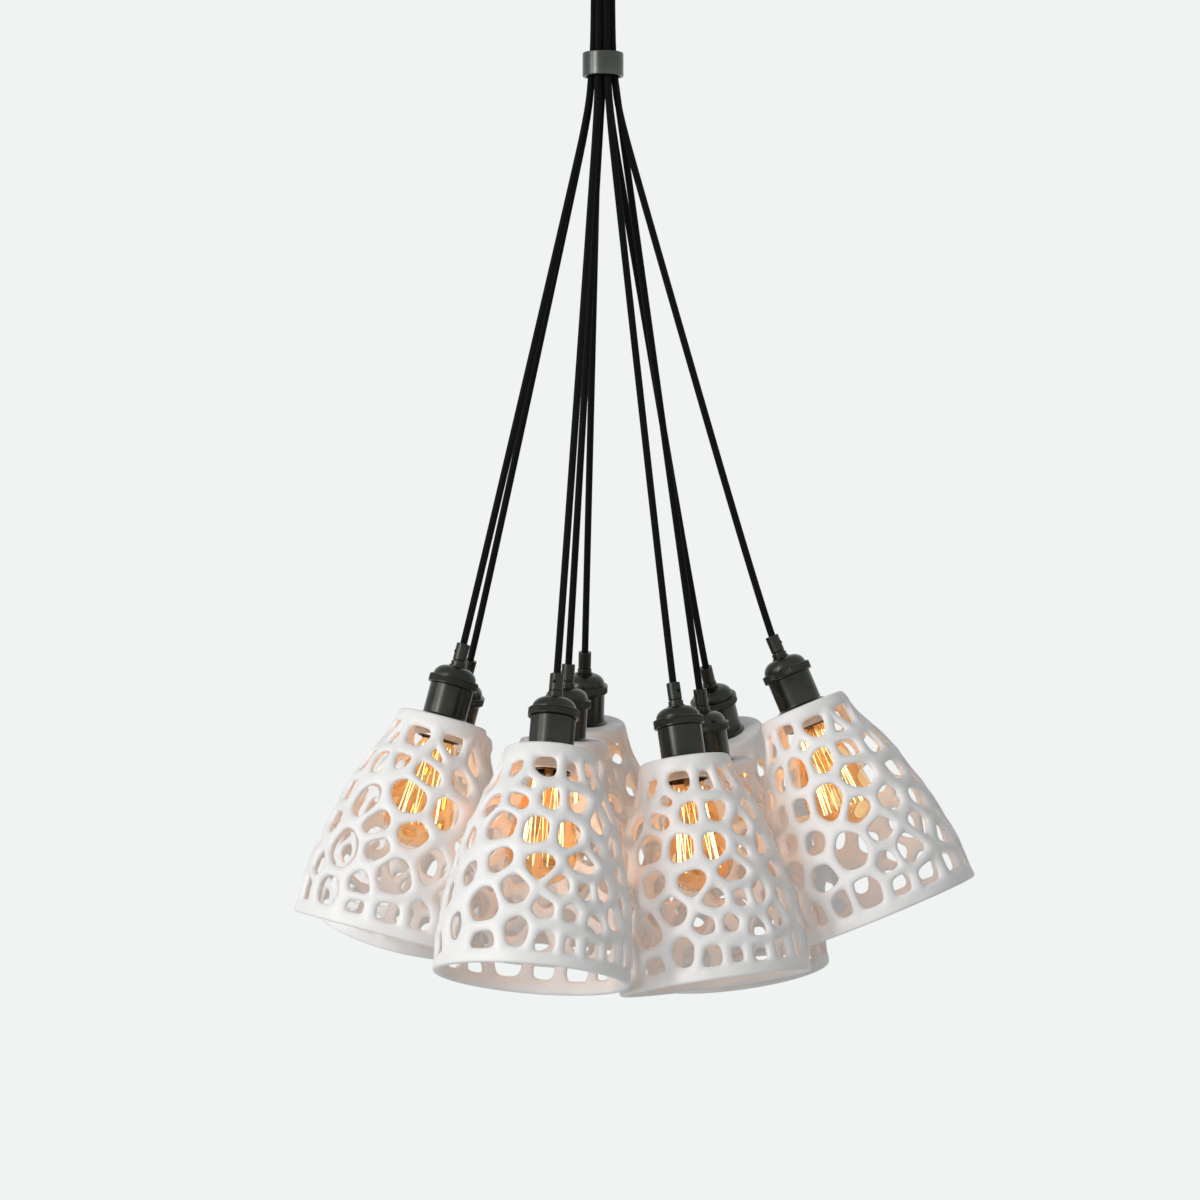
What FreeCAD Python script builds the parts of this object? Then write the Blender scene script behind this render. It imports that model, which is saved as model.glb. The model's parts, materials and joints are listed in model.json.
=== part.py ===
import FreeCAD, Part
import math
import os
import Sketcher

# Cluster pendant light: nine pierced ceramic shades on nine cloth-covered cords.
# The frame is in millimetres, +Z up, with its origin on the ceiling at the middle of the canopy.
# A lamp is modelled upright with the top of its cord grip at the origin, and depths run down from there.

Vector = FreeCAD.Vector
doc = FreeCAD.newDocument("cluster_pendant")
sheet = doc.addObject("Spreadsheet::Sheet", "sizes")

SIZES = {
    # ceiling fitting
    "canopy_radius": 65, "canopy_depth": 28, "canopy_wall": 1.2, "canopy_edge": 14,
    "canopy_flat_radius": 53, "canopy_round": 14, "bar_length": 112, "bar_width": 22, "bar_thickness": 2,
    "bar_slot_spacing": 70, "bar_slot_width": 4.5, "bar_slot_length": 9, "canopy_screw_spacing": 90,
    "canopy_screw_radius": 1.9, "canopy_screw_head_radius": 4.2, "canopy_screw_head_height": 3.4,
    "screw_clearance": 0.1, "screw_reach": 1, "outlet_flange_radius": 24, "outlet_flange_height": 4,
    "outlet_neck_radius": 18, "outlet_neck_height": 14, "outlet_tail_radius": 16.5,
    "outlet_tail_height": 9, "outlet_round": 2.5, "locknut_radius": 22, "locknut_height": 4,
    "wire_cap_radius": 6, "wire_cap_tip_radius": 3.4, "wire_cap_length": 17, "wire_cap_place": 31,
    # cords and gather collar
    "cord_radius": 3.25, "cord_gap": 0.15, "cord_top_depth": 7, "outlet_gap": 0.3, "joint_gap": 0.3,
    "splay_depth": 88, "splay_radius": 11.5, "collar_radius": 19, "collar_bore_radius": 15.8,
    "collar_height": 22, "collar_bottom_depth": 124, "collar_round": 2, "collar_lip_radius": 13.7,
    "collar_lip_height": 4,
    # layout of the cluster
    "cluster_drop": 550, "grip_lead": 18, "cord_seat": 12,
    # cord grip
    "grip_radius": 6.2, "grip_height": 16, "grip_bore_radius": 3.5, "nut_radius": 6.8, "nut_height": 4.8,
    "set_screw_radius": 1.5, "set_screw_depth": 8, "set_screw_stand": 0.4,
    # lampholder
    "dome_height": 11.6, "dome_radius": 19.8, "dome_round": 12, "dome_neck_radius": 8,
    "dome_neck_height": 1.2, "band_radius": 22.8, "band_height": 7.8, "barrel_radius": 20,
    "barrel_height": 27.8, "barrel_wall": 1.6, "skirt_radius": 23, "skirt_height": 2, "tail_radius": 18.9,
    "tail_height": 20, "thread_clearance": 0.1, "ring_radius": 23.2, "ring_height": 10,
    "insert_height": 18, "insert_cap": 6, "insert_bore_radius": 14.5, "contact_radius": 4,
    "contact_height": 1.2, "shell_radius": 14.3, "shell_wall": 0.6, "shell_height": 25,
    # ceramic shade
    "shade_height": 202, "shade_rim_radius": 86, "shade_shoulder_radius": 41, "shade_wall": 7,
    "shade_top": 9, "shade_bore_clearance": 0.4, "shade_strut": 11.5, "shade_top_band": 13,
    "shade_rim_band": 12,
    # filament bulb
    "base_radius": 13.1, "base_height": 25, "base_gap": 0.3, "base_tip_radius": 4.6,
    "base_tip_height": 2.2, "base_cone_height": 4, "glass_radius": 32, "glass_length": 113,
    "glass_wall": 1, "glass_neck_radius": 12.9, "glass_neck_length": 8, "glass_round": 31,
    "glass_shoulder_round": 153, "glass_bottom_flat": 4, "stem_radius": 4, "stem_tip_radius": 2,
    "stem_length": 24, "post_radius": 0.9, "post_length": 62, "filament_wire_radius": 0.35,
    "filament_cage_radius": 19, "filament_crown_radius": 13, "filament_length": 60, "filament_start": 20,
    "overrun": 1,
}

for row, (alias, value) in enumerate(SIZES.items(), start=1):
    sheet.set("A%d" % row, alias)
    sheet.set("B%d" % row, str(value))
    sheet.setAlias("B%d" % row, alias)
doc.recompute()


class Size:
    """A length that keeps both its value and the expression that it comes from."""

    def __init__(self, value, text):
        self.value = value
        self.text = text

    def __add__(self, other):
        return Size(self.value + other.value, "(%s + %s)" % (self.text, other.text))

    def __sub__(self, other):
        return Size(self.value - other.value, "(%s - %s)" % (self.text, other.text))

    def __mul__(self, factor):
        return Size(self.value * factor, "(%s * %r)" % (self.text, factor))

    def __neg__(self):
        return Size(-self.value, "(-%s)" % self.text)


def size(alias):
    return Size(float(sheet.get(alias)), "sizes." + alias)


ZERO = Size(0.0, "0")


def bind(feature, prop, length):
    setattr(feature, prop, length.value)
    feature.setExpression(prop, length.text)


def origin_feature(body, role):
    return next(item for item in body.Origin.OriginFeatures if item.Role == role)


def new_sketch(body, name, role):
    sketch = body.newObject("Sketcher::SketchObject", name)
    sketch.AttachmentSupport = [(origin_feature(body, role), "")]
    sketch.MapMode = "FlatFace"
    return sketch


def drive(sketch, kind, geometry, position, length):
    """Places one coordinate of a vertex from the sketch's origin, driven by the sheet."""
    if length.value == 0:
        axis = -2 if kind == "DistanceX" else -1
        sketch.addConstraint(Sketcher.Constraint("PointOnObject", geometry, position, axis))
        return
    index = sketch.addConstraint(Sketcher.Constraint(kind, -1, 1, geometry, position, length.value))
    sketch.setExpression("Constraints[%d]" % index, length.text)


def arc_between(start, end, radius, bulge):
    """The short arc from start to end; a bulge of 1 lies to the right of the way, -1 to its left."""
    middle = (start + end) * 0.5
    way = end - start
    side = Vector(way.y, -way.x, 0).normalize() * bulge
    centre = middle - side * math.sqrt(radius ** 2 - (way.Length / 2) ** 2)
    angles = [math.atan2(p.y - centre.y, p.x - centre.x) for p in (start, end)]
    forward = (angles[1] - angles[0]) % (2 * math.pi) < math.pi
    first, last = angles if forward else reversed(angles)
    circle = Part.Circle(centre, Vector(0, 0, 1), radius)
    return Part.ArcOfCircle(circle, first, last), (1, 2) if forward else (2, 1)


def turned(name, outline):
    """A body turned about Z. Each outline point is (radius, depth), or (radius, depth, arc radius, bulge)
    where an arc leads to it from the point before."""
    body = doc.addObject("PartDesign::Body", name)
    sketch = new_sketch(body, name + "_outline", "XZ_Plane")
    count = len(outline)
    places = [Vector(point[0].value, -point[1].value, 0) for point in outline]
    ends = []
    for index in range(count):
        target = outline[(index + 1) % count]
        start, end = places[index], places[(index + 1) % count]
        if len(target) == 2:
            sketch.addGeometry(Part.LineSegment(start, end))
            ends.append((1, 2))
        else:
            arc, order = arc_between(start, end, target[2].value, target[3])
            sketch.addGeometry(arc)
            ends.append(order)
    for index in range(count):
        following = (index + 1) % count
        meeting = (index, ends[index][1], following, ends[following][0])
        sketch.addConstraint(Sketcher.Constraint("Coincident", *meeting))
    for index, point in enumerate(outline):
        drive(sketch, "DistanceX", index, ends[index][0], point[0])
        drive(sketch, "DistanceY", index, ends[index][0], -point[1])
    for index in range(count):
        target = outline[(index + 1) % count]
        if len(target) == 4:
            place = sketch.addConstraint(Sketcher.Constraint("Radius", index, target[2].value))
            sketch.setExpression("Constraints[%d]" % place, target[2].text)
    revolution = body.newObject("PartDesign::Revolution", name + "_turn")
    revolution.Profile = sketch
    revolution.ReferenceAxis = (sketch, ["V_Axis"])
    revolution.Angle = 360
    return body


def ring_of(name, inner, outer, top, bottom):
    return turned(name, [(inner, top), (outer, top), (outer, bottom), (inner, bottom)])


def disc(name, radius, top, bottom):
    return turned(name, [(ZERO, top), (radius, top), (radius, bottom), (ZERO, bottom)])


def cylinder(name, radius, height, base=Vector(), direction=Vector(0, 0, 1)):
    item = doc.addObject("Part::Cylinder", name)
    bind(item, "Radius", radius)
    bind(item, "Height", height)
    item.Placement = FreeCAD.Placement(base, FreeCAD.Rotation(Vector(0, 0, 1), direction))
    return item


def cut(name, base, tools):
    tool = tools[0]
    if len(tools) > 1:
        tool = doc.addObject("Part::MultiFuse", name + "_tools")
        tool.Shapes = tools
    item = doc.addObject("Part::Cut", name)
    item.Base = base
    item.Tool = tool
    return item


def feature(name, shape):
    item = doc.addObject("Part::Feature", name)
    item.Shape = shape
    return item


nodes = []


def node(label, parts, placement=FreeCAD.Placement()):
    item = doc.addObject("Part::Compound", label)
    item.Label = label
    item.Links = parts
    item.Placement = placement
    nodes.append(item)
    return item


# Layout of the nine lamps. The bearing is the compass angle in which a lamp leans, from +X towards +Y.
# The rim share times the rim's radius is how far the middle of its rim stands from its cord's pivot.
# The drop share times cluster_drop is the height from the pivot down to its cord grip.
# The lean is the lamp's own, in degrees; a lamp with none hangs in line with its cord, which is straight.
# The facing turns its casting.
LAMPS = {
    "a": {"slot": 4, "bearing": 203.5, "rim_share": 2.343, "drop_share": 0.9535, "lean": 16.0, "facing": 30},
    "b": {"slot": 3, "bearing": 148.5, "rim_share": 2.547, "drop_share": 0.9845, "lean": 18.0, "facing": 200},
    "c": {"slot": 5, "bearing": 253.8, "rim_share": 2.395, "drop_share": 1.0, "lean": 16.3, "facing": 270},
    "d": {"slot": None, "bearing": 162.5, "rim_share": 0.5845, "drop_share": 0.989, "lean": None,
          "facing": 90},
    "e": {"slot": 2, "bearing": 96.0, "rim_share": 2.114, "drop_share": 0.972, "lean": 12.0, "facing": 320},
    "f": {"slot": 6, "bearing": 309.0, "rim_share": 1.768, "drop_share": 1.0165, "lean": 12.5, "facing": 261},
    "g": {"slot": 0, "bearing": 22.5, "rim_share": 1.48, "drop_share": 1.0325, "lean": None, "facing": 230},
    "h": {"slot": 1, "bearing": 54.0, "rim_share": 3.13, "drop_share": 0.999, "lean": 23.3, "facing": 20},
    "i": {"slot": 7, "bearing": 348.0, "rim_share": 2.948, "drop_share": 0.941, "lean": 23.1, "facing": 150},
}
SLOT_COUNT = 8
SLOT_TURN = 21.75
LEAN_STEPS = 40
# Points of a cord's curve below its pivot, as shares of its reach and of its drop
ROUTE_SHARES = ((0.022, 0.055), (0.12, 0.16))

cord_radius = size("cord_radius")
grip_height = size("grip_height")
dome_top = grip_height + size("nut_height")
band_top = dome_top + size("dome_height")
barrel_top = band_top + size("band_height")
shade_top = barrel_top + size("barrel_height") + size("skirt_height")
ring_top = shade_top + size("shade_top")
rim_depth = shade_top + size("shade_height")


def flat_direction(bearing):
    angle = math.radians(bearing)
    return Vector(math.cos(angle), math.sin(angle), 0)


def slot_angle(slot):
    return SLOT_TURN + 360.0 / SLOT_COUNT * slot


def pivot_of(lamp):
    pivot = Vector(0, 0, -size("collar_bottom_depth").value)
    if lamp["slot"] is not None:
        pivot += flat_direction(slot_angle(lamp["slot"])) * size("splay_radius").value
    return pivot


def lamp_drop(lamp):
    return lamp["drop_share"] * size("cluster_drop").value


def rim_reach(lamp):
    return lamp["rim_share"] * size("shade_rim_radius").value


def lean_of(lamp):
    """The lamp's lean in radians. In line with its cord, its line meets the middle of its rim."""
    if lamp["lean"] is not None:
        return math.radians(lamp["lean"])
    lean = 0.0
    for _ in range(LEAN_STEPS):
        lean = math.atan2(rim_reach(lamp) - rim_depth.value * math.sin(lean), lamp_drop(lamp))
    return lean


def lamp_axis(lamp):
    """Unit vector down the lamp, from its cord grip to its rim."""
    lean = lean_of(lamp)
    return flat_direction(lamp["bearing"]) * math.sin(lean) + Vector(0, 0, -math.cos(lean))


def grip_place(lamp):
    """The top of the cord grip, found from where the rim's middle has to stand."""
    reach = rim_reach(lamp) - rim_depth.value * math.sin(lean_of(lamp))
    return pivot_of(lamp) + flat_direction(lamp["bearing"]) * reach + Vector(0, 0, -lamp_drop(lamp))


def lamp_placement(lamp, turn):
    """Puts an upright lamp in its place, its local +X turned by the given angle about its own axis."""
    up = Vector(0, 0, 1)
    rotation = FreeCAD.Rotation(up, lamp["bearing"])
    rotation = rotation.multiply(FreeCAD.Rotation(Vector(0, 1, 0), -math.degrees(lean_of(lamp))))
    rotation = rotation.multiply(FreeCAD.Rotation(up, turn))
    return FreeCAD.Placement(grip_place(lamp), rotation)


# Cords. A route is straight runs joined by tangent arcs, each as large as its two runs allow.
ARC_SHARE = 0.45


def route_path(points, label):
    edges = []
    start = points[0]
    radii = []
    for before, corner, after in zip(points, points[1:], points[2:]):
        run_in, run_out = corner - before, after - corner
        turn = run_in.getAngle(run_out)
        trim = ARC_SHARE * min(run_in.Length, run_out.Length)
        radii.append(trim / math.tan(turn / 2))
        way_in, way_out = Vector(run_in).normalize(), Vector(run_out).normalize()
        arc_start = corner - way_in * trim
        arc_end = corner + way_out * trim
        inward = (way_out - way_in).normalize()
        bisector = radii[-1] * (1 / math.cos(turn / 2) - 1)
        edges.append(Part.LineSegment(start, arc_start).toShape())
        edges.append(Part.Arc(arc_start, corner + inward * bisector, arc_end).toShape())
        start = arc_end
    edges.append(Part.LineSegment(start, points[-1]).toShape())
    print(label, "bend radii", " ".join("%.0f" % radius for radius in radii) or "none")
    return Part.Wire(edges)


def cord_tube(points, label):
    path = route_path(points, label)
    way = points[1] - points[0]
    section = Part.Wire(Part.makeCircle(cord_radius.value, points[0], way))
    tube = path.makePipeShell([section], True, False)
    expected = math.pi * cord_radius.value ** 2 * path.Length
    print(label, "length %.1f volume share %.4f" % (path.Length, tube.Volume / expected))
    return tube


def lower_route(lamp):
    pivot, grip, axis = pivot_of(lamp), grip_place(lamp), lamp_axis(lamp)
    across = Vector(grip.x - pivot.x, grip.y - pivot.y, 0)
    drop = pivot.z - grip.z
    end = grip + axis * size("cord_seat").value
    if lamp["lean"] is None:
        return [pivot, end]
    points = [pivot]
    for reach_share, drop_share in ROUTE_SHARES:
        points.append(pivot + across * reach_share + Vector(0, 0, -drop * drop_share))
    points.append(grip - axis * size("grip_lead").value)
    points.append(end)
    return points


def upper_route(slot):
    bottom = Vector(0, 0, -size("collar_bottom_depth").value + (cord_radius + size("joint_gap")).value)
    top = Vector(0, 0, -size("cord_top_depth").value)
    if slot is None:
        return [top, bottom]
    side = flat_direction(slot_angle(slot))
    packed = (2 * cord_radius.value + size("cord_gap").value) / 2 / math.sin(math.pi / SLOT_COUNT)
    splay = Vector(0, 0, -size("splay_depth").value) + side * packed
    return [top + side * packed, splay, bottom + side * size("splay_radius").value]


def make_cords():
    for name, lamp in LAMPS.items():
        points = lower_route(lamp)
        tube = cord_tube(points, "cord " + name)
        cap = Part.makeSphere(cord_radius.value, points[0], points[0] - points[1], 0, 90, 360)
        node("cord_" + name, [feature("cord_tube_" + name, tube.fuse(cap).removeSplitter())])
    uppers = []
    for name, lamp in LAMPS.items():
        tube = cord_tube(upper_route(lamp["slot"]), "upper cord " + name)
        uppers.append(feature("upper_cord_" + name, tube))
    return uppers


# Ceiling fitting
def make_canopy():
    radius, depth, wall = size("canopy_radius"), size("canopy_depth"), size("canopy_wall")
    flat, edge = size("canopy_flat_radius"), size("canopy_edge")
    bore = size("outlet_tail_radius") + size("screw_clearance")
    shell = turned("canopy_shell", [
        (bore, depth), (flat, depth), (radius, edge, size("canopy_round"), 1), (radius, ZERO),
        (radius - wall, ZERO), (radius - wall, edge), (flat, depth - wall, size("canopy_round"), -1),
        (bore, depth - wall)])
    holes = []
    for side in (-1, 1):
        hole = cylinder("canopy_hole_%d" % (side + 1), size("canopy_screw_radius") + size("screw_clearance"),
                        depth)
        hole.setExpression(".Placement.Base.x", (size("canopy_screw_spacing") * (side * 0.5)).text)
        hole.setExpression(".Placement.Base.z", (-depth - size("overrun")).text)
        holes.append(hole)
    node("canopy", [cut("canopy_drilled", shell, holes)])


def make_bar():
    body = doc.addObject("PartDesign::Body", "mounting_bar")
    sketch = new_sketch(body, "bar_outline", "XY_Plane")
    half_length, half_width = size("bar_length") * 0.5, size("bar_width") * 0.5
    corners = [(-half_length, -half_width), (half_length, -half_width), (half_length, half_width),
               (-half_length, half_width)]
    for index, corner in enumerate(corners):
        after = corners[(index + 1) % len(corners)]
        start = Vector(corner[0].value, corner[1].value, 0)
        sketch.addGeometry(Part.LineSegment(start, Vector(after[0].value, after[1].value, 0)))
    for index, corner in enumerate(corners):
        sketch.addConstraint(Sketcher.Constraint("Coincident", index, 2, (index + 1) % len(corners), 1))
        drive(sketch, "DistanceX", index, 1, corner[0])
        drive(sketch, "DistanceY", index, 1, corner[1])
    pad = body.newObject("PartDesign::Pad", "bar_pad")
    pad.Profile = sketch
    bind(pad, "Length", size("bar_thickness"))
    pad.Reversed = True
    tools = []
    for side in (-1, 1):
        tapped_radius = size("canopy_screw_radius") + size("screw_clearance")
        tapped = cylinder("tapped_hole_%d" % (side + 1), tapped_radius,
                          size("bar_thickness") + size("overrun") * 2)
        tapped.setExpression(".Placement.Base.x", (size("canopy_screw_spacing") * (side * 0.5)).text)
        tapped.setExpression(".Placement.Base.z", (-size("bar_thickness") - size("overrun")).text)
        tools.append(tapped)
        for end in (-1, 1):
            offset = size("bar_slot_spacing") * (side * 0.5)
            offset = offset + (size("bar_slot_length") - size("bar_slot_width")) * (end * 0.5)
            bore = cylinder("slot_end_%d_%d" % (side + 1, end + 1), size("bar_slot_width") * 0.5,
                            size("bar_thickness") + size("overrun") * 2)
            bore.setExpression(".Placement.Base.x", offset.text)
            bore.setExpression(".Placement.Base.z", (-size("bar_thickness") - size("overrun")).text)
            tools.append(bore)
        slot = doc.addObject("Part::Box", "slot_%d" % (side + 1))
        bind(slot, "Length", size("bar_slot_length") - size("bar_slot_width"))
        bind(slot, "Width", size("bar_slot_width"))
        bind(slot, "Height", size("bar_thickness") + size("overrun") * 2)
        left = size("bar_slot_spacing") * (side * 0.5)
        left = left - (size("bar_slot_length") - size("bar_slot_width")) * 0.5
        slot.setExpression(".Placement.Base.x", left.text)
        slot.setExpression(".Placement.Base.y", (-(size("bar_slot_width") * 0.5)).text)
        slot.setExpression(".Placement.Base.z", (-size("bar_thickness") - size("overrun")).text)
        tools.append(slot)
    node("ceiling_bar", [cut("bar_slotted", body, tools)])


def make_canopy_screws():
    depth, head = size("canopy_depth"), size("canopy_screw_head_height")
    shank = size("canopy_screw_radius")
    screw = turned("canopy_screw", [
        (ZERO, size("screw_reach")), (shank, size("screw_reach")), (shank, depth),
        (size("canopy_screw_head_radius"), depth), (size("canopy_screw_head_radius"), depth + head),
        (ZERO, depth + head)])
    pair = []
    for side in (-1, 1):
        item = doc.addObject("Part::Compound", "canopy_screw_%d" % (side + 1))
        item.Links = [screw]
        item.setExpression(".Placement.Base.x", (size("canopy_screw_spacing") * (side * 0.5)).text)
        pair.append(item)
    node("canopy_screws", pair)


def make_outlet():
    packed_outside = cord_radius * 2 + size("cord_gap")
    packed_outside = packed_outside * (0.5 / math.sin(math.pi / SLOT_COUNT)) + cord_radius
    bore = packed_outside + size("outlet_gap")
    face = size("canopy_depth")
    flange = face + size("outlet_flange_height")
    bottom = flange + size("outlet_neck_height")
    tail_top = face - size("outlet_tail_height")
    tail = size("outlet_tail_radius")
    bushing = turned("outlet_bushing", [
        (bore, tail_top), (tail, tail_top), (tail, face), (size("outlet_flange_radius"), face),
        (size("outlet_flange_radius"), flange), (size("outlet_neck_radius"), flange),
        (size("outlet_neck_radius"), bottom - size("outlet_round")),
        (size("outlet_neck_radius") - size("outlet_round"), bottom, size("outlet_round"), -1),
        (bore, bottom)])
    nut_bottom = face - size("canopy_wall")
    locknut = ring_of("outlet_locknut", tail + size("thread_clearance"), size("locknut_radius"),
                      nut_bottom - size("locknut_height"), nut_bottom)
    node("cord_outlet", [bushing, locknut])


def make_wire_caps():
    caps = []
    bottom = size("canopy_depth") - size("canopy_wall")
    top = bottom - size("wire_cap_length")
    cap = turned("wire_cap", [
        (ZERO, top), (size("wire_cap_tip_radius"), top), (size("wire_cap_radius"), bottom), (ZERO, bottom)])
    for side in (-1, 1):
        item = doc.addObject("Part::Compound", "wire_cap_%d" % (side + 1))
        item.Links = [cap]
        item.setExpression(".Placement.Base.y", (size("wire_cap_place") * side).text)
        caps.append(item)
    return caps


def make_collar():
    bottom = size("collar_bottom_depth")
    top = bottom - size("collar_height")
    outer, inner, rounding = size("collar_radius"), size("collar_bore_radius"), size("collar_round")
    lip, lip_end = size("collar_lip_radius"), top + size("collar_lip_height")
    collar = turned("collar_ring", [
        (lip, top), (outer, top), (outer, bottom - rounding), (outer - rounding, bottom, rounding, -1),
        (inner, bottom), (inner, lip_end), (lip, lip_end)])
    node("gather_collar", [collar])


# Lamp masters, upright, each made once
def make_grip():
    top_part = turned("grip_sleeve", [
        (size("grip_bore_radius"), ZERO), (size("grip_radius"), ZERO), (size("grip_radius"), grip_height),
        (size("nut_radius"), grip_height), (size("nut_radius"), dome_top),
        (ZERO, dome_top), (ZERO, grip_height), (size("grip_bore_radius"), grip_height)])
    screw_radius, clearance = size("set_screw_radius"), size("screw_clearance")
    start = size("grip_bore_radius")
    length = size("grip_radius") - start + size("set_screw_stand")
    hole = cylinder("grip_hole", screw_radius + clearance, length, direction=Vector(1, 0, 0))
    screw = cylinder("grip_set_screw", screw_radius, length, direction=Vector(1, 0, 0))
    for item in (hole, screw):
        item.setExpression(".Placement.Base.x", start.text)
        item.setExpression(".Placement.Base.z", (-size("set_screw_depth")).text)
    return [cut("grip_drilled", top_part, [hole]), screw]


def make_socket():
    wall, clearance = size("barrel_wall"), size("thread_clearance")
    band, barrel = size("band_radius"), size("barrel_radius")
    neck, dome, rounding = size("dome_neck_radius"), size("dome_radius"), size("dome_round")
    dome_start = dome_top + size("dome_neck_height")
    cap = turned("holder_cap", [
        (ZERO, dome_top), (neck, dome_top), (neck, dome_start), (dome, band_top, rounding, -1),
        (band, band_top), (band, barrel_top), (barrel - wall, barrel_top), (dome - wall, band_top),
        (neck, dome_start + wall, rounding, 1), (ZERO, dome_start + wall)])
    skirt_top = shade_top - size("skirt_height")
    tail_end = shade_top + size("tail_height")
    tail = size("tail_radius")
    inner = tail - wall
    barrel_tube = turned("holder_barrel", [
        (inner, barrel_top), (barrel, barrel_top), (barrel, skirt_top), (size("skirt_radius"), shade_top),
        (tail, shade_top), (tail, tail_end), (inner, tail_end)])
    ring = ring_of("shade_ring", tail + clearance, size("ring_radius"), ring_top,
                   ring_top + size("ring_height"))
    insert_top = barrel_top + wall
    insert_radius = inner - clearance
    floor = insert_top + size("insert_cap")
    insert = turned("holder_insert", [
        (ZERO, insert_top), (insert_radius, insert_top), (insert_radius, insert_top + size("insert_height")),
        (size("insert_bore_radius"), insert_top + size("insert_height")), (size("insert_bore_radius"), floor),
        (ZERO, floor)])
    contact = disc("holder_contact", size("contact_radius"), floor, floor + size("contact_height"))
    shell = ring_of("holder_shell", size("shell_radius") - size("shell_wall"), size("shell_radius"), floor,
                    floor + size("shell_height"))
    return [cap, barrel_tube, ring, insert, contact, shell], floor + size("contact_height")


def make_bulb(contact_depth):
    tip_top = contact_depth + size("base_gap")
    cone_top = tip_top + size("base_tip_height")
    thread_top = cone_top + size("base_cone_height")
    base_bottom = thread_top + size("base_height") - size("base_cone_height")
    radius, tip = size("base_radius"), size("base_tip_radius")
    contact = disc("bulb_contact", tip, tip_top, cone_top)
    shell = turned("bulb_shell", [
        (ZERO, cone_top), (tip, cone_top), (radius, thread_top), (radius, base_bottom), (ZERO, base_bottom)])
    stem_end = base_bottom + size("stem_length")
    stem = turned("bulb_stem", [
        (ZERO, base_bottom), (size("stem_radius"), base_bottom), (size("stem_tip_radius"), stem_end),
        (ZERO, stem_end)])
    post = disc("bulb_post", size("post_radius"), stem_end, stem_end + size("post_length"))
    wall, neck = size("glass_wall"), size("glass_neck_radius")
    neck_end = base_bottom + size("glass_neck_length")
    end = base_bottom + size("glass_length")
    belly = end - size("glass_round")
    flat, widest = size("glass_bottom_flat"), size("glass_radius")
    shape_radius = size("glass_shoulder_round")
    glass = turned("bulb_envelope", [
        (neck - wall, base_bottom), (neck, base_bottom), (neck, neck_end),
        (widest, belly, shape_radius, -1), (flat, end, widest, -1), (ZERO, end), (ZERO, end - wall),
        (flat, end - wall), (widest - wall, belly, widest - wall, 1),
        (neck - wall, neck_end, shape_radius - wall, 1)])
    return [contact, shell, stem, post, make_filament(base_bottom)], [glass]


FILAMENT_LEGS = 18


def make_filament(base_bottom):
    """A cage of slanting wires that meet end to end, with a lead beside the stem."""
    top = base_bottom + size("filament_start")
    bottom = top + size("filament_length")
    crown, cage = size("filament_crown_radius"), size("filament_cage_radius")
    wire = size("filament_wire_radius")

    def corner(index):
        angle = 2 * math.pi * index / FILAMENT_LEGS
        radius, depth = (crown, top) if index % 2 == 0 else (cage, bottom)
        return Vector(radius.value * math.cos(angle), radius.value * math.sin(angle), -depth.value)

    def rod(start, end):
        way = end - start
        return Part.makeCylinder(wire.value, way.Length, start, way)

    pieces = []
    for index in range(FILAMENT_LEGS - 1):
        pieces.append(rod(corner(index), corner(index + 1)))
        pieces.append(Part.makeSphere(wire.value, corner(index + 1)))
    lead_start = Vector(0, 0, -(base_bottom + size("stem_length")).value)
    lead_start.z += size("post_radius").value
    side = Vector(corner(0).x, corner(0).y, 0).normalize()
    near = lead_start + side * (size("stem_tip_radius") + wire * 2).value
    pieces.append(rod(near, corner(0)))
    pieces.append(Part.makeSphere(wire.value, corner(0)))
    return feature("bulb_filament", pieces[0].multiFuse(pieces[1:]))


# Ceramic shade: the wall's outline as shares of its height and of its rim's radius beyond the shoulder
WALL_SHARES = ((0.0, 0.0), (0.105, 0.115), (0.29, 0.49), (0.48, 0.735), (0.69, 0.935), (0.84, 1.0),
               (1.0, 1.0))

# Middles of the pierced holes: angle in degrees round the casting, and share of the shade's height
HOLE_SHARES = (
    (-38, 0.12), (-3, 0.12), (29, 0.125), (57, 0.13), (84, 0.11), (123, 0.11), (169, 0.11), (216, 0.12),
    (262, 0.12), (-17, 0.2), (145, 0.15), (192, 0.15), (292, 0.18), (241, 0.17), (103, 0.18), (-48, 0.3),
    (-25, 0.285), (4, 0.27), (29, 0.26), (70, 0.27), (90, 0.275), (114, 0.255), (143, 0.25), (170, 0.27),
    (191, 0.26), (214, 0.25), (241, 0.3), (274, 0.3), (48, 0.35), (-32, 0.4), (-3, 0.425), (21, 0.42),
    (63, 0.43), (138, 0.38), (108, 0.44), (85, 0.43), (172, 0.42), (234, 0.38), (264, 0.42), (197, 0.45),
    (296, 0.44), (40, 0.47), (-28, 0.55), (0, 0.58), (26, 0.54), (127, 0.52), (151, 0.53), (88, 0.57),
    (68, 0.55), (215, 0.53), (242, 0.55), (175, 0.57), (283, 0.55), (48, 0.6), (310, 0.61), (-14, 0.67),
    (12, 0.665), (31, 0.66), (134, 0.63), (110, 0.69), (197, 0.68), (223, 0.645), (263, 0.65),
    (290, 0.68), (66, 0.68), (162, 0.67), (-33, 0.755), (4, 0.755), (21, 0.78), (38, 0.79), (54, 0.75),
    (84, 0.75), (149, 0.76), (180, 0.77), (237, 0.745), (219, 0.8), (275, 0.78), (130, 0.8), (-54, 0.83),
    (-31, 0.89), (-10, 0.86), (8, 0.89), (23, 0.9), (36, 0.895), (54, 0.885), (72, 0.88), (91, 0.86),
    (112, 0.86), (132, 0.91), (152, 0.89), (174, 0.88), (196, 0.87), (214, 0.92), (238, 0.88),
    (261, 0.87), (284, 0.89),
)


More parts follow.
